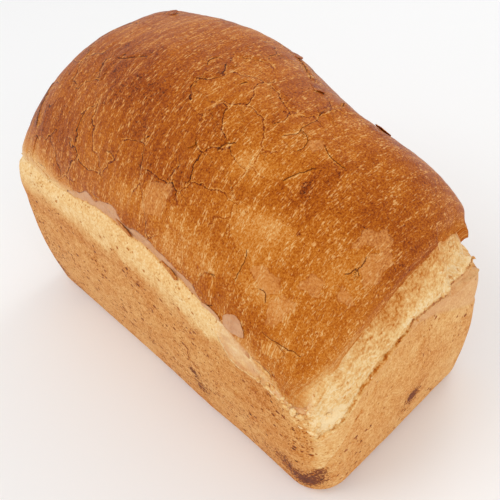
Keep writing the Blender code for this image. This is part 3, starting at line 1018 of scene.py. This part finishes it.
def makeCrown():
    a, b = np.meshgrid(
        np.linspace(-1, 1, crownCrust["cellsAlong"] + 1), np.linspace(-1, 1, crownCrust["cellsAcross"] + 1)
    )
    m = np.maximum(np.abs(a), np.abs(b))
    scale = 1 - (1 - edgeScaleAt(a, b)) * m ** crownCrust["edgePull"]
    points = crownSurface(a * scale, b * scale) - recentre
    normals = gridNormals(points)
    # A folded cell at the ragged edge turns its normal inwards: there it is turned back
    outwards = np.sum(normals * (points - np.array([0, 0, 40 * mm])), axis=-1, keepdims=True)
    normals = normals * np.where(outwards < 0, -1, 1)
    u = a * scale * alongTable["length"] / 2
    v = b * scale * acrossTable["length"] / 2
    fromEdge = distanceFromEdge(a, b, scale)
    signed, active, plateHeight, plateTint = plateField(u, v)
    crackNear, crackStrength, crackRelief = crackField(points, normals)
    peel = peelField(points, normals)
    lip = lipField(points, fromEdge)
    flat = np.stack([u / 0.35, v, 0 * u], axis=-1)
    relief = 0.45 * mm * softNoise(points, 34 * mm, 91) + 0.20 * mm * softNoise(points, 12 * mm, 92)
    relief = relief + 0.12 * mm * layeredNoise(flat, 7 * mm, 2, 93)
    relief = relief + crownCrust["plateStep"] * mm * plateHeight * active
    relief = relief - 0.10 * mm * bell(signed / (0.8 * mm)) * active
    relief = relief - crownCrust["peelDepth"] * mm * smoothStep(-0.3, 0.3, peel / mm)
    rolled = smoothStep(0.5, 0.95, np.abs(normals[..., 1])) * (1 - smoothStep(0, 5 * mm, fromEdge))
    relief = relief - crownCrust["rollUnder"] * mm * rolled
    relief = relief + crackRelief * smoothStep(0.8 * mm, 3.5 * mm, fromEdge) - 0.30 * mm * lip
    relief = relief - 0.35 * mm
    points = points + normals * relief[..., None]

    rim = np.concatenate([points[0, :-1], points[:-1, -1], points[-1, :0:-1], points[:0:-1, 0]])
    rimOut = np.concatenate([normals[0, :-1], normals[:-1, -1], normals[-1, :0:-1], normals[:0:-1, 0]])
    rimOut = unit(sum(np.roll(rimOut, step, axis=0) for step in range(-5, 6)))
    ringUp = unit(np.array([0, 0, 1.0]) - rimOut[:, 2:] * rimOut)
    atCorner = bell(np.hypot(rim[:, 0] - 96 * mm, rim[:, 1] - 46 * mm) / (13 * mm))[:, None]
    skirt = [rim + ringUp * up * mm * (1 + 0.8 * atCorner) - rimOut * into * mm * (1 + 2.2 * atCorner)
             for up, into in crownCrust["lipRows"]]

    rows, columns = a.shape
    mainCount = rows * columns
    numbers = np.arange(mainCount).reshape(rows, columns)
    rimNumbers = np.concatenate([numbers[0, :-1], numbers[:-1, -1], numbers[-1, :0:-1], numbers[:0:-1, 0]])
    ringCount = len(rimNumbers)
    rings = [rimNumbers] + [mainCount + k * ringCount + np.arange(ringCount) for k in range(len(skirt))]
    quads = [gridQuads(rows, columns)]
    for upper, lower in zip(rings[:-1], rings[1:]):
        quads.append(np.stack([lower, np.roll(lower, -1), np.roll(upper, -1), upper], axis=-1))
    everyPoint = np.concatenate([points.reshape(-1, 3)] + skirt)
    bake = crownBake(points, u, v, fromEdge)

    def spread(values):
        values = values.reshape(mainCount, -1)
        return np.concatenate([values] + [values[rimNumbers]] * len(skirt))

    crown = makePiece("crownCrust", everyPoint, np.concatenate(quads), crownMaterial, {
        "place": spread(np.stack([u, v, fromEdge], axis=-1)),
        "plates": spread(np.stack([signed / mm, active, plateTint], axis=-1)),
        "cracks": spread(np.stack([crackNear / mm, crackStrength, wornField(points)], axis=-1)),
        "skin": spread(np.stack([peel / mm, bake, lip], axis=-1)),
    })
    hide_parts("loaf")
    return points.reshape(-1, 3)


crownSkin = makeCrown()

# The body: sides and base as the tin left them, the pale band above the rim, and the torn end
loafBody = {
    "columns": 780,
    "baseRows": 9,
    "wallRows": 70,
    "bandRows": 28,
    "columnShare": {"minusY": 1.10, "plusX": 1.40, "plusY": 0.80, "minusX": 0.85},
    "tuck": 1.9,  # mm that the band stands back under the crust
    "smears": (  # middle, reach along each axis, darker by
        ((-84, -56, 68), (13, 20, 5), 0.10),
        ((-40, -57, 69), (13, 20, 4), 0.09),
        ((-8, -57, 70), (12, 20, 4), 0.04),
        ((28, -57, 62), (16, 20, 6), 0.04),
        ((-60, -57, 40), (30, 20, 9), 0.03),
        ((106, 30, 40), (20, 14, 9), 0.03),
    ),
    "scorches": (  # middle, reach, strength
        ((-90.1, -54.1, 15.0), 9.0, 0.75),
        ((-76.0, -53.0, 5.0), 8.0, 0.70),
        ((-60.0, -52.5, 3.0), 7.0, 0.45),
        ((31.5, -55.8, 32.0), 3.5, 0.95),
        ((34.0, -54.9, 22.0), 7.5, 0.80),
        ((87.3, -54.9, 23.0), 8.0, 0.75),
        ((96.1, -52.7, 14.0), 7.5, 0.90),
        ((102.5, -50.3, 26.0), 4.5, 0.85),
        ((101.0, -50.0, 18.0), 6.0, 0.55),
        ((106.1, 4.2, 25.0), 4.0, 0.95),
        ((106.0, 5.0, 22.0), 10.0, 0.42),
        ((-104.0, 20.0, 14.0), 8.0, 0.70),
        ((20.0, 55.0, 12.0), 9.0, 0.70),
        ((-60.0, 56.0, 20.0), 6.0, 0.55),
    ),
}


def ridgeHeight(x):
    x = x / mm
    return (79 - 9.5 * smoothStep(55, 65, x) + 2 * smoothStep(66, 80, x) - 6 * smoothStep(82, 100, x)) * mm


def creaseHeight(y):
    return (29 + 34 * np.clip((y / mm + 49) / 36, 0, 2) ** 0.6) * mm


def secondFoldHeight(y):
    return (76.6 - 0.52 * (y / mm + 5.4)) * mm


# Columns round the rim, closer together where the sides need more detail
def bodyColumns():
    count = 6000
    a, b = borderPlaces(count)
    rim = wallPoints(a, b, form["rimHeight"])
    steps = np.linalg.norm(np.roll(rim, -1, axis=0) - rim, axis=1)
    side = np.floor(np.arange(count) / count * 4).astype(int)
    share = np.choose(side, list(loafBody["columnShare"].values()))
    smoothing = 240
    share = np.convolve(np.tile(share, 3), np.ones(smoothing) / smoothing, "same")[count : 2 * count]
    run = np.concatenate([[0], np.cumsum(steps * share)])
    wanted = np.arange(loafBody["columns"]) / loafBody["columns"] * run[-1]
    turn = np.interp(wanted, run, np.arange(count + 1))
    length = np.interp(turn, np.arange(count + 1), np.concatenate([[0], np.cumsum(steps)]))
    s = np.interp(turn, np.arange(count + 1), np.append(a, a[0]))
    t = np.interp(turn, np.arange(count + 1), np.append(b, b[0]))
    return s, t, length


def bodySurface(s, t):
    a, b = placeToEven(alongTable, s), placeToEven(acrossTable, t)
    radius, rim = form["baseRadius"], form["rimHeight"]
    angles = np.linspace(0, math.pi / 2, loafBody["baseRows"], endpoint=False)
    heights = np.concatenate([radius * (1 - np.cos(angles)), np.linspace(radius, rim, loafBody["wallRows"] + 1)])
    walls = wallPoints(s[None], t[None], heights[:, None])
    walls = tearOpenTheEnd(walls, False)
    edge = edgeScaleAt(a, b)[None]
    shares = np.concatenate([np.linspace(0, 1, loafBody["bandRows"] + 1)[1:], [1, 1, 1]])[:, None]
    tucked = np.concatenate([np.zeros(loafBody["bandRows"]), [0.012, 0.03, 0.06]])[:, None]
    scale = 1 - (1 - edge) * shares - tucked
    band = crownSurface(a * scale, b * scale, False)
    return np.concatenate([walls, band]), a, b, scale


def bodyFields(points, rowCount):
    x, y, z = np.moveaxis(points, -1, 0)
    edge = raggedEdge(x, y)
    foot = burstFootHeight(y) + mm * 0.8 * softNoise(points, 6 * mm, 101)
    rim = form["rimHeight"]
    onPlusX = smoothStep(-4, 4, ((x - 105 * mm) - (np.abs(y) - 56 * mm)) / mm) * (x > 0)
    onMinusY = smoothStep(-4, 4, ((-y - 56 * mm) - (np.abs(x) - 105 * mm)) / mm) * (y < 0)
    noise = {cell: softNoise(points, cell * mm, 110 + cell) for cell in (5, 9, 30)}
    burst = onPlusX * smoothStep(-0.4, 0.8, (z - foot) / mm)
    creamFrom = 77 + 3.0 * noise[30] + 2.4 * noise[9] + 1.8 * noise[5] - 4 * smoothStep(20, 60, x / mm)
    streaky = layeredNoise(np.stack([x, y, z * 0.3], axis=-1), 5 * mm, 3, 102)
    creamFrom = creamFrom + 3.2 * streaky * smoothStep(-40, 10, x / mm)
    cream = (1 - onPlusX) * smoothStep(-5.5, 4.5, z / mm - creamFrom)
    stripFrom = smoothStep(52, 60, x / mm) * onMinusY * smoothStep(-0.5, 0.8, (z - ridgeHeight(x)) / mm)
    wedge = onPlusX * smoothStep(-0.3, 0.8, (z - secondFoldHeight(y)) / mm) * smoothStep(-8, 2, y / mm)
    wedge = wedge * (1 - burst)
    swollen = onPlusX * smoothStep(-0.8, 1.4, (z - creaseHeight(y)) / mm) * smoothStep(-8, -18, y / mm) * (1 - burst)
    pad = bell(np.hypot((y + 46.5 * mm) / (9 * mm), (x - 103.5 * mm) / (9 * mm)))
    pad = pad * bell((z - 61.5 * mm - 0.10 * (y + 46.5 * mm)) / (2.8 * mm)) * (x > 0.09)
    scorch = sum(
        strength * bell(np.linalg.norm(points - np.array(middle) * mm, axis=-1) / (reach * mm))
        for middle, reach, strength in loafBody["scorches"]
    )
    below = (edge - z) / mm
    return {
        "edge": edge, "foot": foot, "onPlusX": onPlusX, "onMinusY": onMinusY, "noise": noise, "burst": burst,
        "cream": cream, "strip": stripFrom, "wedge": wedge, "swollen": swollen, "pad": pad, "scorch": scorch,
        "below": below,
    }


def bodyRelief(points, f):
    x, y, z = np.moveaxis(points, -1, 0)
    relief = 0.45 * f["noise"][30] + 0.14 * f["noise"][9] + 0.07 * f["noise"][5]
    flush = (1 - 0.92 * f["onPlusX"]) * (1 - 0.85 * smoothStep(40, 68, x / mm))
    relief = relief - loafBody["tuck"] * smoothStep(6.5, 0.2, f["below"]) * flush
    torn = np.stack([y, (z - f["edge"]) * 4, 0 * x], axis=-1)
    crumb = 0.32 * layeredNoise(torn, 8 * mm, 2, 121) + 0.30 * layeredNoise(points, 3.0 * mm, 2, 122)
    relief = relief + f["burst"] * (crumb - 0.25)
    relief = relief + 0.55 * f["onPlusX"] * bell((z - f["foot"] + 0.8 * mm) / (1.1 * mm))
    relief = relief - 0.85 * f["onPlusX"] * bell((z - f["foot"] - 0.6 * mm) / (0.9 * mm))
    relief = relief + 1.2 * f["onPlusX"] * smoothStep(18, 40, y / mm) * bell((z - 60 * mm) / (9 * mm))
    relief = relief + 0.7 * bell(np.hypot((x - 98 * mm) / (6 * mm), (y + 54 * mm) / (5 * mm))) * bell(f["below"] / 2.5)
    ridge = (z - ridgeHeight(x)) / mm
    onRidge = f["onMinusY"] * smoothStep(52, 58, x / mm)
    relief = relief + onRidge * (0.75 * bell(ridge / 0.9) - 0.5 * f["strip"])
    relief = relief + 0.45 * f["strip"] * layeredNoise(np.stack([x, y, z * 1.8], axis=-1), 5 * mm, 3, 134)
    relief = relief - 0.55 * f["wedge"] + 0.5 * f["swollen"]
    crease = (z - creaseHeight(y)) / mm
    relief = relief - 0.35 * f["onPlusX"] * bell(crease / 1.0) * smoothStep(-8, -18, y / mm)
    relief = relief + 1.5 * f["pad"]
    relief = relief - 0.25 * np.clip(f["scorch"], 0, 1) * (0.5 + 0.5 * f["noise"][5])
    return relief * mm


def bodyAttributes(points, f, length):
    x, y, z = np.moveaxis(points, -1, 0)
    noise = f["noise"]
    bake = 0.45 + 0.035 * noise[30] + 0.03 * noise[9]
    bake = bake + 0.06 * smoothStep(12, 0, z / mm) + 0.035 * f["onMinusY"] * smoothStep(30, 80, x / mm)
    for middle, reach, darker in loafBody["smears"]:
        bake = bake + darker * bell(np.linalg.norm((points - np.array(middle) * mm) / (np.array(reach) * mm), axis=-1))
    bake = bake - 0.27 * f["cream"]
    bake = bake + f["burst"] * (-0.19 + 0.11 * smoothStep(10, 2, f["below"]) * smoothStep(-42, -18, y / mm))
    ragged = 1.7 + 1.4 * noise[5] + 1.0 * softNoise(points, 2.2 * mm, 133)
    bake = bake + 0.09 * f["onPlusX"] * smoothStep(0.8, -0.6, f["below"] - ragged)
    brightBand = f["burst"] * smoothStep(-14, -4, y / mm) * bell((z - f["foot"] - 3.2 * mm) / (2.6 * mm))
    bake = bake - 0.14 * brightBand - 0.10 * f["burst"] * smoothStep(-12, -30, y / mm)
    atNearCorner = bell(np.hypot((x - 98 * mm) / (14 * mm), (y + 54 * mm) / (14 * mm)))
    # Painted shade: the band turns dark brown where it runs in under the crust's edge, so the shadowed gap reads brown
    shadeUnderCrust = smoothStep(0.5, -0.3, f["below"]) * (1 - atNearCorner)
    bake = bake + (0.30 - 0.22 * f["onPlusX"]) * shadeUnderCrust * (1 - 0.6 * smoothStep(50, 66, x / mm))
    bake = bake - 0.10 * atNearCorner * smoothStep(-2, 6, z / mm - 60) * (1 - f["burst"])
    bake = bake - 0.035 * f["onPlusX"] * (1 - f["burst"])
    bake = bake - 0.30 * f["pad"] - 0.12 * f["swollen"] * smoothStep(-25, -42, y / mm) - 0.06 * f["strip"]
    pitting = 0.35 + 0.65 * smoothStep(0.0, 0.5, softNoise(points, 15 * mm, 131))
    pitting = pitting * (1 - 0.75 * f["onPlusX"]) * (1 - 0.45 * f["cream"]) * (1 - 0.9 * f["strip"])
    pitting = pitting + 0.35 * f["onPlusX"] * smoothStep(22, 6, z / mm)
    pitting = pitting * (1 - f["burst"])
    flaky = layeredNoise(np.stack([x, y, z * 2.2], axis=-1), 5 * mm, 3, 134)
    bake = bake + f["strip"] * (0.15 * flaky + 0.05 - 0.12 * smoothStep(78, 92, x / mm))
    # Share of the painted pinkish sheen: the strip by the near corner and the wedge above the second fold
    pinkSheen = np.clip((0.75 + 0.5 * flaky) * f["strip"] + 0.6 * f["wedge"], 0, 1)

    def keepSign(signed, mask):
        return signed + np.where(signed < 0, -1, 1) * (1 - mask) * 30

    foot = keepSign((z - f["foot"]) / mm, f["onPlusX"])
    ridge = keepSign((z - ridgeHeight(x)) / mm, f["onMinusY"] * smoothStep(50, 58, x / mm))
    crease = keepSign((z - creaseHeight(y)) / mm, f["onPlusX"] * smoothStep(-10, -16, y / mm))
    return {
        "place": np.stack([length + 0 * z, z, z - f["edge"]], axis=-1),
        "skin": np.stack([bake, f["scorch"], pitting], axis=-1),
        "zones": np.stack([f["cream"], f["burst"], pinkSheen], axis=-1),
        "marks": np.stack([foot, ridge, crease], axis=-1),
    }


def makeBody():
    s, t, length = bodyColumns()
    points, a, b, scale = bodySurface(s, t)
    fields = bodyFields(points, len(points))
    normals = gridNormals(points, wrapColumns=True)
    relief = bodyRelief(points, fields)
    z = points[..., 2]
    relief = relief * smoothStep(0, 3 * mm, z)
    attributes = bodyAttributes(points - recentre, fields, length)
    points = points + normals * relief[..., None]
    rows, columns = z.shape
    points[-3:] -= normals[-3:] * np.array([0.6, 1.6, 3.0])[:, None, None] * mm
    points = points - recentre

    last = scale[-1]
    capScales = (0.75, 0.45, 0.15)
    cap = np.stack([crownSurface(a * last * k, b * last * k, False) for k in capScales]) - recentre
    cap[..., 2] -= 3.5 * mm
    capPole = cap[-1].mean(axis=0)
    base = points[0]
    baseScales = np.array([0.97, 0.90, 0.78, 0.60, 0.38, 0.14])
    under = base[None] * np.array([1, 1, 0]) * baseScales[:, None, None]
    under[..., 2] = 0.12 * mm * (1 + softNoise(under, 9 * mm, 141)) * (baseScales[:, None] < 0.95)
    underPole = np.array([0, 0, 0.1 * mm])

    flat = np.concatenate([points.reshape(-1, 3), cap.reshape(-1, 3), under.reshape(-1, 3), [capPole, underPole]])
    bodyCount = rows * columns
    ring = np.arange(columns)
    capFirst, underFirst = bodyCount, bodyCount + cap.shape[0] * columns
    capRings = [(rows - 1) * columns + ring] + [capFirst + k * columns + ring for k in range(len(cap))]
    underRings = [ring] + [underFirst + k * columns + ring for k in range(len(under))]
    quads = [gridQuads(rows, columns, wrap=True)]
    for lower, upper in zip(capRings[:-1], capRings[1:]):
        quads.append(np.stack([lower, np.roll(lower, -1), np.roll(upper, -1), upper], axis=-1))
    for outer, inner in zip(underRings[:-1], underRings[1:]):
        quads.append(np.stack([np.roll(outer, -1), outer, inner, np.roll(inner, -1)], axis=-1))
    capCentre, underCentre = len(flat) - 2, len(flat) - 1
    fans = np.concatenate([
        np.stack([capRings[-1], np.roll(capRings[-1], -1), 0 * ring + capCentre], axis=-1),
        np.stack([np.roll(underRings[-1], -1), underRings[-1], 0 * ring + underCentre], axis=-1),
    ])

    extra = len(flat) - bodyCount
    def spread(values):
        values = values.reshape(bodyCount, -1)
        tail = np.repeat(values[:columns].mean(axis=0, keepdims=True), extra, axis=0)
        return np.concatenate([values, tail])

    attributes = {key: spread(values) for key, values in attributes.items()}
    attributes["place"][bodyCount:] = flat[bodyCount:]
    body = makePiece("loafBody", flat, np.concatenate(quads), tinMaterial, attributes, fans)
    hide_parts("loaf")
    return points.reshape(-1, 3), normals.reshape(-1, 3)


bodySkin, bodyOut = makeBody()

# Crumbs and shreds that hang on the torn edge. Each run: first and last place in mm, how many, least and most
# size in mm, how far they scatter in mm, how dark they are
tornShreds = {
    "runs": (
        ((80, -57, 73), (92, -57, 69), 12, 0.6, 1.2, 0.9, 0.26),
        ((90, -57, 69), (103, -52, 62), 22, 0.7, 1.6, 1.6, 0.22),
        ((100, -54, 60), (106, -42, 60), 12, 0.7, 1.5, 1.8, 0.12),
        ((104, -40, 68), (106, 20, 80), 34, 0.4, 0.9, 2.4, 0.30),
        ((102, 18, 84), (99, 44, 80), 30, 0.5, 1.3, 2.6, 0.24),
        ((104, 40, 74), (96, 50, 72), 12, 0.5, 1.2, 1.4, 0.36),
    ),
    "rings": 7,
    "corners": 10,
}


# Lumps like flattened balls, bent by noise and half sunk in the body's surface
def makeShreds():
    chance = np.random.default_rng(29)
    rings, corners = tornShreds["rings"], tornShreds["corners"]
    angle = np.linspace(0, math.pi, rings + 2)[1:-1, None]
    turn = np.linspace(0, 2 * math.pi, corners, endpoint=False)[None]
    ball = np.stack([np.sin(angle) * np.cos(turn), np.sin(angle) * np.sin(turn), np.cos(angle) + 0 * turn], axis=-1)
    ball = ball[::-1]
    ring = np.arange(corners)
    points, quads, fans, bakes, uses = [], [], [], [], 0
    for first, last, count, least, most, scatter, dark in tornShreds["runs"]:
        for share in np.sort(chance.uniform(0, 1, count)):
            place = np.array(first) + share * (np.array(last) - np.array(first)) + chance.normal(0, scatter, 3)
            closest = np.argmin(((bodySkin - place * mm) ** 2).sum(axis=1))
            out = bodyOut[closest]
            size = least + (most - least) * chance.uniform(0, 1) ** 2
            side = unit(np.cross(out, chance.normal(0, 1, 3) * (0.4, 1, 0.4)))
            long, wide, tall = size * np.array([chance.uniform(1.0, 1.9), chance.uniform(0.6, 1.0), 0.55]) * mm
            frame = np.stack([side * long, np.cross(out, side) * wide, out * tall])
            lump = ball * (1 + 0.45 * layeredNoise(ball + 9 * uses, 0.9, 2, 300))[..., None]
            shape = bodySkin[closest] + lump @ frame - out * tall * 0.15
            points += [shape.reshape(-1, 3), shape[:1].mean(axis=1), shape[-1:].mean(axis=1)]
            low, high = uses + rings * corners, uses + rings * corners + 1
            top = uses + (rings - 1) * corners
            quads.append(gridQuads(rings, corners, wrap=True, first=uses))
            fans.append(np.stack([uses + np.roll(ring, -1), uses + ring, 0 * ring + low], axis=-1))
            fans.append(np.stack([top + ring, top + np.roll(ring, -1), 0 * ring + high], axis=-1))
            bakes.append(np.full(rings * corners + 2, dark + chance.uniform(-0.1, 0.1)))
            uses += rings * corners + 2
    points, bakes = np.concatenate(points), np.concatenate(bakes)
    flat = np.ones((len(points), 3))
    shreds = makePiece("tornShreds", points, np.concatenate(quads), tinMaterial, {
        "place": points,
        "skin": np.stack([bakes, 0 * bakes, 0 * bakes], axis=-1),
        "zones": flat * (0, 0.5, 0),
        "marks": flat * 30,
    }, np.concatenate(fans))
    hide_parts("loaf")
    return shreds


makeShreds()

# Flakes of skin that stand up from the crown. Each is an outline in mm, the outline point that stands highest,
# its lift in mm, how dark it is and how much painted pinkish sheen it carries
liftedFlakes = {
    "thickness": 0.32,
    "clear": 0.15,
    "corners": 84,
    "shares": (0.06, 0.30, 0.55, 0.78, 0.93, 1.0),
    "flakes": (
        (((58.7, -54.5, 89.2), (61.3, -53.6, 91.6), (64.6, -53.0, 92.4), (67.2, -53.0, 91.7), (69.3, -53.9, 89.3),
          (70.3, -54.6, 86.8), (68.0, -55.0, 85.8), (64.0, -55.4, 85.1), (59.6, -55.3, 86.1)), 5, 0.55, 0.80, 1.0),
        (((44.0, -53.8, 94.5), (45.5, -52.0, 98.6), (47.5, -50.6, 102.0), (51.5, -50.4, 101.4), (53.0, -51.6, 98.4),
          (53.4, -53.2, 94.6), (49.0, -54.2, 93.2)), 1, 0.50, 0.72, 0.0),
        (((46.5, -55.2, 88.5), (50.5, -54.8, 89.6), (57.0, -55.0, 88.2), (58.0, -55.4, 86.3), (52.0, -55.6, 86.6),
          (47.2, -55.5, 87.2)), 3, 0.45, 0.60, 1.0),
        (((-65.5, 27.5, 140.4), (-62.0, 26.0, 141.4), (-57.0, 27.0, 142.2), (-56.5, 29.5, 142.0), (-60.0, 31.0, 140.9),
          (-64.5, 30.5, 140.0)), 4, 1.3, 0.84, 0.0),
        (((5.0, 38.0, 138.0), (9.5, 37.5, 137.9), (12.0, 40.0, 136.0), (10.0, 42.0, 135.2), (6.0, 41.5, 136.0)),
         3, 1.0, 0.80, 0.0),
        (((53.5, 38.5, 123.6), (58.0, 36.5, 124.0), (62.0, 38.0, 121.8), (60.0, 41.0, 119.8), (55.0, 41.5, 120.8)),
         1, 0.8, 0.82, 0.0),
        (((30.5, 25.5, 139.2), (35.5, 22.5, 139.0), (38.5, 25.0, 137.3), (35.5, 28.5, 136.6), (31.5, 28.5, 137.8)),
         2, 0.7, 0.80, 0.0),
        (((14.5, -24.5, 135.6), (17.5, -23.5, 135.9), (20.5, -26.5, 133.6), (18.5, -29.0, 132.4), (15.0, -27.5, 133.8)),
         2, 0.6, 0.76, 0.0),
        (((-3.5, -4.0, 146.7), (0.5, -2.5, 146.8), (2.0, -5.5, 146.0), (-1.5, -7.0, 146.0)), 2, 0.5, 0.78, 0.0),
        (((2.0, 8.0, 146.9), (5.5, 10.0, 146.5), (7.5, 8.0, 146.2), (4.5, 6.0, 146.6)), 1, 0.5, 0.80, 0.0),
        (((77.0, -52.2, 89.4), (82.0, -50.8, 90.6), (87.5, -50.2, 89.0), (86.0, -52.0, 85.6), (79.5, -53.6, 85.2)),
         2, 0.45, 0.60, 0.0),
        (((-8.0, -53.4, 98.2), (-3.0, -53.6, 97.6), (3.5, -54.2, 95.6), (2.0, -54.6, 93.8), (-6.0, -54.2, 95.4)),
         3, 0.6, 0.66, 0.0),
        (((22.0, -53.8, 93.8), (27.0, -54.0, 93.0), (33.0, -54.6, 90.8), (31.0, -55.2, 89.4), (23.5, -54.8, 91.2)),
         3, 0.6, 0.68, 0.0),
    ),
}


# A closed thin scale: rings from its middle out to the outline, over the edge and back below
def flakeShape(outline, highest, lift, seed):
    outline = np.array(outline) * mm - recentre
    out = np.cross(outline - outline.mean(axis=0), np.roll(outline, -1, axis=0) - outline).sum(axis=0)
    out = out / np.linalg.norm(out) * np.sign(out @ (outline.mean(axis=0) - [0, 0, 60 * mm]))
    far = ((outline[:, None] - crownSkin[None]) ** 2).sum(axis=-1)
    outline = outline + ((crownSkin[np.argmin(far, axis=1)] - outline) @ out)[:, None] * out
    ends = np.roll(outline, -1, axis=0)
    run = np.concatenate([[0], np.cumsum(np.linalg.norm(ends - outline, axis=1))])
    wanted = np.linspace(0, run[-1], liftedFlakes["corners"], endpoint=False)
    closed = np.concatenate([outline, outline[:1]])
    border = np.stack([np.interp(wanted, run, closed[:, axis]) for axis in range(3)], axis=-1)
    border = (np.roll(border, 2, axis=0) + np.roll(border, -2, axis=0) + border) / 3
    middle = border.mean(axis=0)
    ragged = 0.35 * mm * layeredNoise(border, 2.2 * mm, 2, seed)
    border = border + unit(border - middle) * ragged[:, None]
    top = np.stack([middle + (border - middle) * share for share in liftedFlakes["shares"]])
    toHigh = outline[highest] - middle
    climb = np.clip(0.45 + 0.55 * ((top - middle) @ toHigh) / (toHigh @ toHigh), 0, 1.1) ** 2
    reach = np.linalg.norm(border - middle, axis=1).mean()
    dome = reach**2 / (130 * mm) * (1 - np.array(liftedFlakes["shares"])[:, None] ** 2)
    wavy = 0.12 * mm * layeredNoise(top, 3 * mm, 2, seed + 1)
    top = top + out * (dome + lift * mm * climb + wavy + liftedFlakes["clear"] * mm)[..., None]
    thin = liftedFlakes["thickness"] * mm
    below = top[::-1] - out * thin
    rounded = (top[-1:] + below[:1]) / 2 + unit(border - middle)[None] * thin * 0.3
    return np.concatenate([top, rounded, below]), out


def makeFlakes():
    points, quads, fans, tints, uses = [], [], [], [], 0
    count = liftedFlakes["corners"]
    ring = np.arange(count)
    for number, (outline, highest, lift, dark, pinkSheen) in enumerate(liftedFlakes["flakes"]):
        shape, out = flakeShape(outline, highest, lift, 200 + 10 * number)
        rows = len(shape)
        faces = gridQuads(rows, count, wrap=True, first=uses)
        poles = np.stack([shape[0].mean(axis=0), shape[-1].mean(axis=0)])
        first, last = uses + rows * count, uses + rows * count + 1
        topFan = np.stack([uses + np.roll(ring, -1), uses + ring, 0 * ring + first], axis=-1)
        lowFan = np.stack([uses + (rows - 1) * count + ring, uses + (rows - 1) * count + np.roll(ring, -1),
                           0 * ring + last], axis=-1)
        turned = np.cross(shape[1, 0] - shape[0, 0], shape[0, 1] - shape[0, 0]) @ out > 0
        if turned:
            faces, topFan, lowFan = faces[:, ::-1], topFan[:, ::-1], lowFan[:, ::-1]
        points.append(np.concatenate([shape.reshape(-1, 3), poles]))
        quads.append(faces)
        fans.append(np.concatenate([topFan, lowFan]))
        tints.append(np.tile([-12, dark, pinkSheen], (rows * count + 2, 1)))
        uses += rows * count + 2
    points, tints = np.concatenate(points), np.concatenate(tints)
    flat = np.ones((len(points), 3))
    flakes = makePiece("liftedFlakes", points, np.concatenate(quads), crownMaterial, {
        "place": np.stack([points[:, 0], points[:, 1] - points[:, 2], 0.02 * flat[:, 0]], axis=-1),
        "plates": flat * (30, 0, 0),
        "cracks": flat * (30, 0, 0),
        "skin": tints,
    }, np.concatenate(fans))
    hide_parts("loaf")
    return flakes


makeFlakes()
